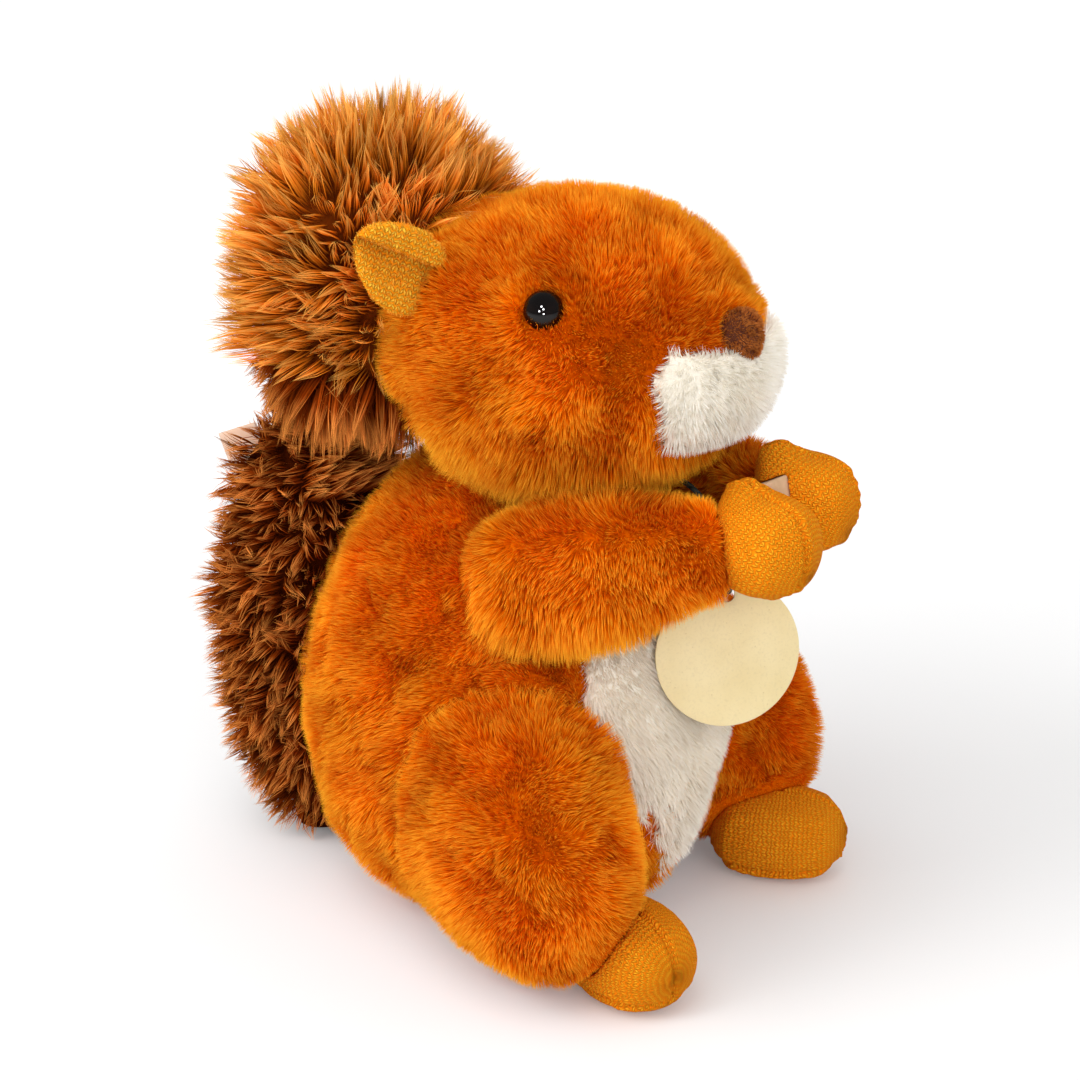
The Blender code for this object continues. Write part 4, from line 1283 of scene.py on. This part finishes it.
def build_card():
    _, directions = node_axes("hang_tag")
    face = Vector(directions[2])
    if face.y > 0.0:
        face.negate()
    up = (Vector((0.0, 0.0, 1.0)) - face * face.z).normalized()
    bm = bmesh.new()
    bmesh.ops.create_circle(bm, segments=CARD_STEPS, radius=CARD_RADIUS)
    hole = bmesh.ops.create_circle(bm, segments=CARD_STEPS, radius=CARD_HOLE)["verts"]
    bmesh.ops.translate(bm, verts=hole, vec=(0.0, CARD_RADIUS - CARD_HOLE_INSET, 0.0))
    bmesh.ops.bridge_loops(bm, edges=bm.edges)
    spokes = [edge for edge in bm.edges if len(edge.link_faces) == 2]
    bmesh.ops.subdivide_edges(bm, edges=spokes, cuts=CARD_RINGS, use_grid_fill=True)
    lifted = bmesh.ops.extrude_face_region(bm, geom=list(bm.faces))
    moved = [item for item in lifted["geom"] if isinstance(item, bmesh.types.BMVert)]
    bmesh.ops.translate(bm, verts=moved, vec=(0.0, 0.0, CARD_THICK))
    bmesh.ops.translate(bm, verts=bm.verts, vec=(0.0, 0.0, -CARD_THICK / 2.0))
    bmesh.ops.recalc_face_normals(bm, faces=bm.faces)
    sharp = [edge for edge in bm.edges if edge.calc_face_angle(0.0) > SHARP_EDGE]
    bmesh.ops.bevel(
        bm, geom=sharp, offset=CARD_BEVEL, segments=2, profile=0.5, affect="EDGES", material=-1
    )
    for vert in bm.verts:
        vert.co.z -= CARD_BOW * (vert.co.x / CARD_RADIUS) ** 2
    turn = Matrix((up.cross(face), up, face)).transposed()
    bmesh.ops.rotate(bm, verts=bm.verts, matrix=turn)
    bmesh.ops.translate(bm, verts=bm.verts, vec=box_middle("hang_tag"))
    card = new_piece("hang_card", bm, card_material())
    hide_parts("hang_tag")
    print("card faces", [round(value, 2) for value in face])


build_card()

# %% [markdown]
# ## The nut and the care label
# The squirrel holds a small faceted nut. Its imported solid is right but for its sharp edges, so a
# copy gets a bevel. The label is a satin ribbon that is folded double and sewn into the tail, so
# it starts as a flat grid, which is bent round into two leaves and then gets its thickness.

# %% Build the nut
NUT_BEVEL = 0.0006
FLAT_ANGLE, RIDGE_ANGLE = 0.05, 0.3      # radians: flatter edges go, sharper ones get a bevel


def nut_material():
    made, graph, shader = new_material("nut_felt", rough=0.7)
    place = graph.place()
    cloud = graph.noise(place, 260.0, 5.0)
    share = graph.span(cloud, 0.3, 0.7)
    tint = graph.mix(share, (0.66, 0.44, 0.26, 1.0), (0.52, 0.32, 0.17, 1.0))
    pores = graph.span(graph.cells(place, 520.0), 0.10, 0.20, 1.0, 0.0)
    pores = graph.math("MULTIPLY", pores, graph.span(graph.noise(place, 420.0), 0.48, 0.56))
    graph.fill(shader.inputs["Base Color"], graph.mix(pores, tint, (0.16, 0.08, 0.03, 1.0)))
    height = graph.math("SUBTRACT", graph.math("MULTIPLY", cloud, 0.5), pores)
    graph.emboss(shader, height, 0.6, 0.0003)
    return made


def build_nut():
    bm = merged_copy("nut")
    bmesh.ops.dissolve_limit(bm, angle_limit=FLAT_ANGLE, verts=bm.verts, edges=bm.edges)
    sharp = [edge for edge in bm.edges if edge.calc_face_angle(0.0) > RIDGE_ANGLE]
    bmesh.ops.bevel(
        bm, geom=sharp, offset=NUT_BEVEL, segments=3, profile=0.5, affect="EDGES", material=-1
    )
    nut = new_piece("nut_block", bm, nut_material())
    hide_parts("nut")


build_nut()

# %% Build the care label
LABEL_WIDTH = 0.0150
LABEL_LEAF = 0.0190          # length of each of its two leaves
LABEL_PLY = 0.00014
LABEL_FOLD = 0.00028         # radius of the fold at its free end
LABEL_TILT = math.radians(-22)
RIPPLE_HEIGHT = 0.0004       # of the slight waves that run down the ribbon
RIPPLE_TURN = 260.0          # radians of those waves to a metre of its width


def label_material():
    made, graph, shader = new_material("label_satin", rough=0.38, sheen_weight=0.3)
    place = graph.place()
    inputs = {"Vector": place, "Scale": 900.0, "Distortion": 0.6}
    threads = graph.add("ShaderNodeTexWave", inputs, bands_direction="Z").outputs[1]
    share = graph.span(graph.noise(place, 160.0, 3.0), 0.3, 0.7)
    tint = graph.mix(share, (0.76, 0.47, 0.31, 1.0), (0.86, 0.60, 0.45, 1.0))
    tint = graph.mix(graph.math("MULTIPLY", threads, 0.12), tint, (0.55, 0.30, 0.18, 1.0))
    graph.fill(shader.inputs["Base Color"], tint)
    graph.emboss(shader, threads, 0.4, 0.0001)
    return made


def build_label():
    bm = bmesh.new()
    bmesh.ops.create_grid(bm, x_segments=16, y_segments=44, size=0.5)
    bend = math.pi * LABEL_FOLD
    total = 2.0 * LABEL_LEAF + bend
    for vert in bm.verts:
        across = vert.co.x * LABEL_WIDTH
        run = (vert.co.y + 0.5) * total
        ripple = RIPPLE_HEIGHT * math.sin(across * RIPPLE_TURN)
        wave = ripple * min(run, total - run) / LABEL_LEAF
        if run < LABEL_LEAF:
            vert.co = (-LABEL_FOLD + wave, across, LABEL_LEAF / 2.0 - run)
        elif run > LABEL_LEAF + bend:
            vert.co = (LABEL_FOLD + wave, across, run - bend - LABEL_LEAF * 1.5)
        else:
            turn = (run - LABEL_LEAF) / LABEL_FOLD
            drop = -LABEL_LEAF / 2.0 - LABEL_FOLD * math.sin(turn)
            vert.co = (-LABEL_FOLD * math.cos(turn) + wave, across, drop)
    bmesh.ops.rotate(bm, verts=bm.verts, matrix=Matrix.Rotation(LABEL_TILT, 3, "X"))
    bmesh.ops.translate(bm, verts=bm.verts, vec=box_middle("care_label"))
    label = new_piece("label_ribbon", bm, label_material())
    thick = label.modifiers.new("thickness", "SOLIDIFY")
    thick.thickness = LABEL_PLY
    thick.offset = 0.0
    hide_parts("care_label")


build_label()
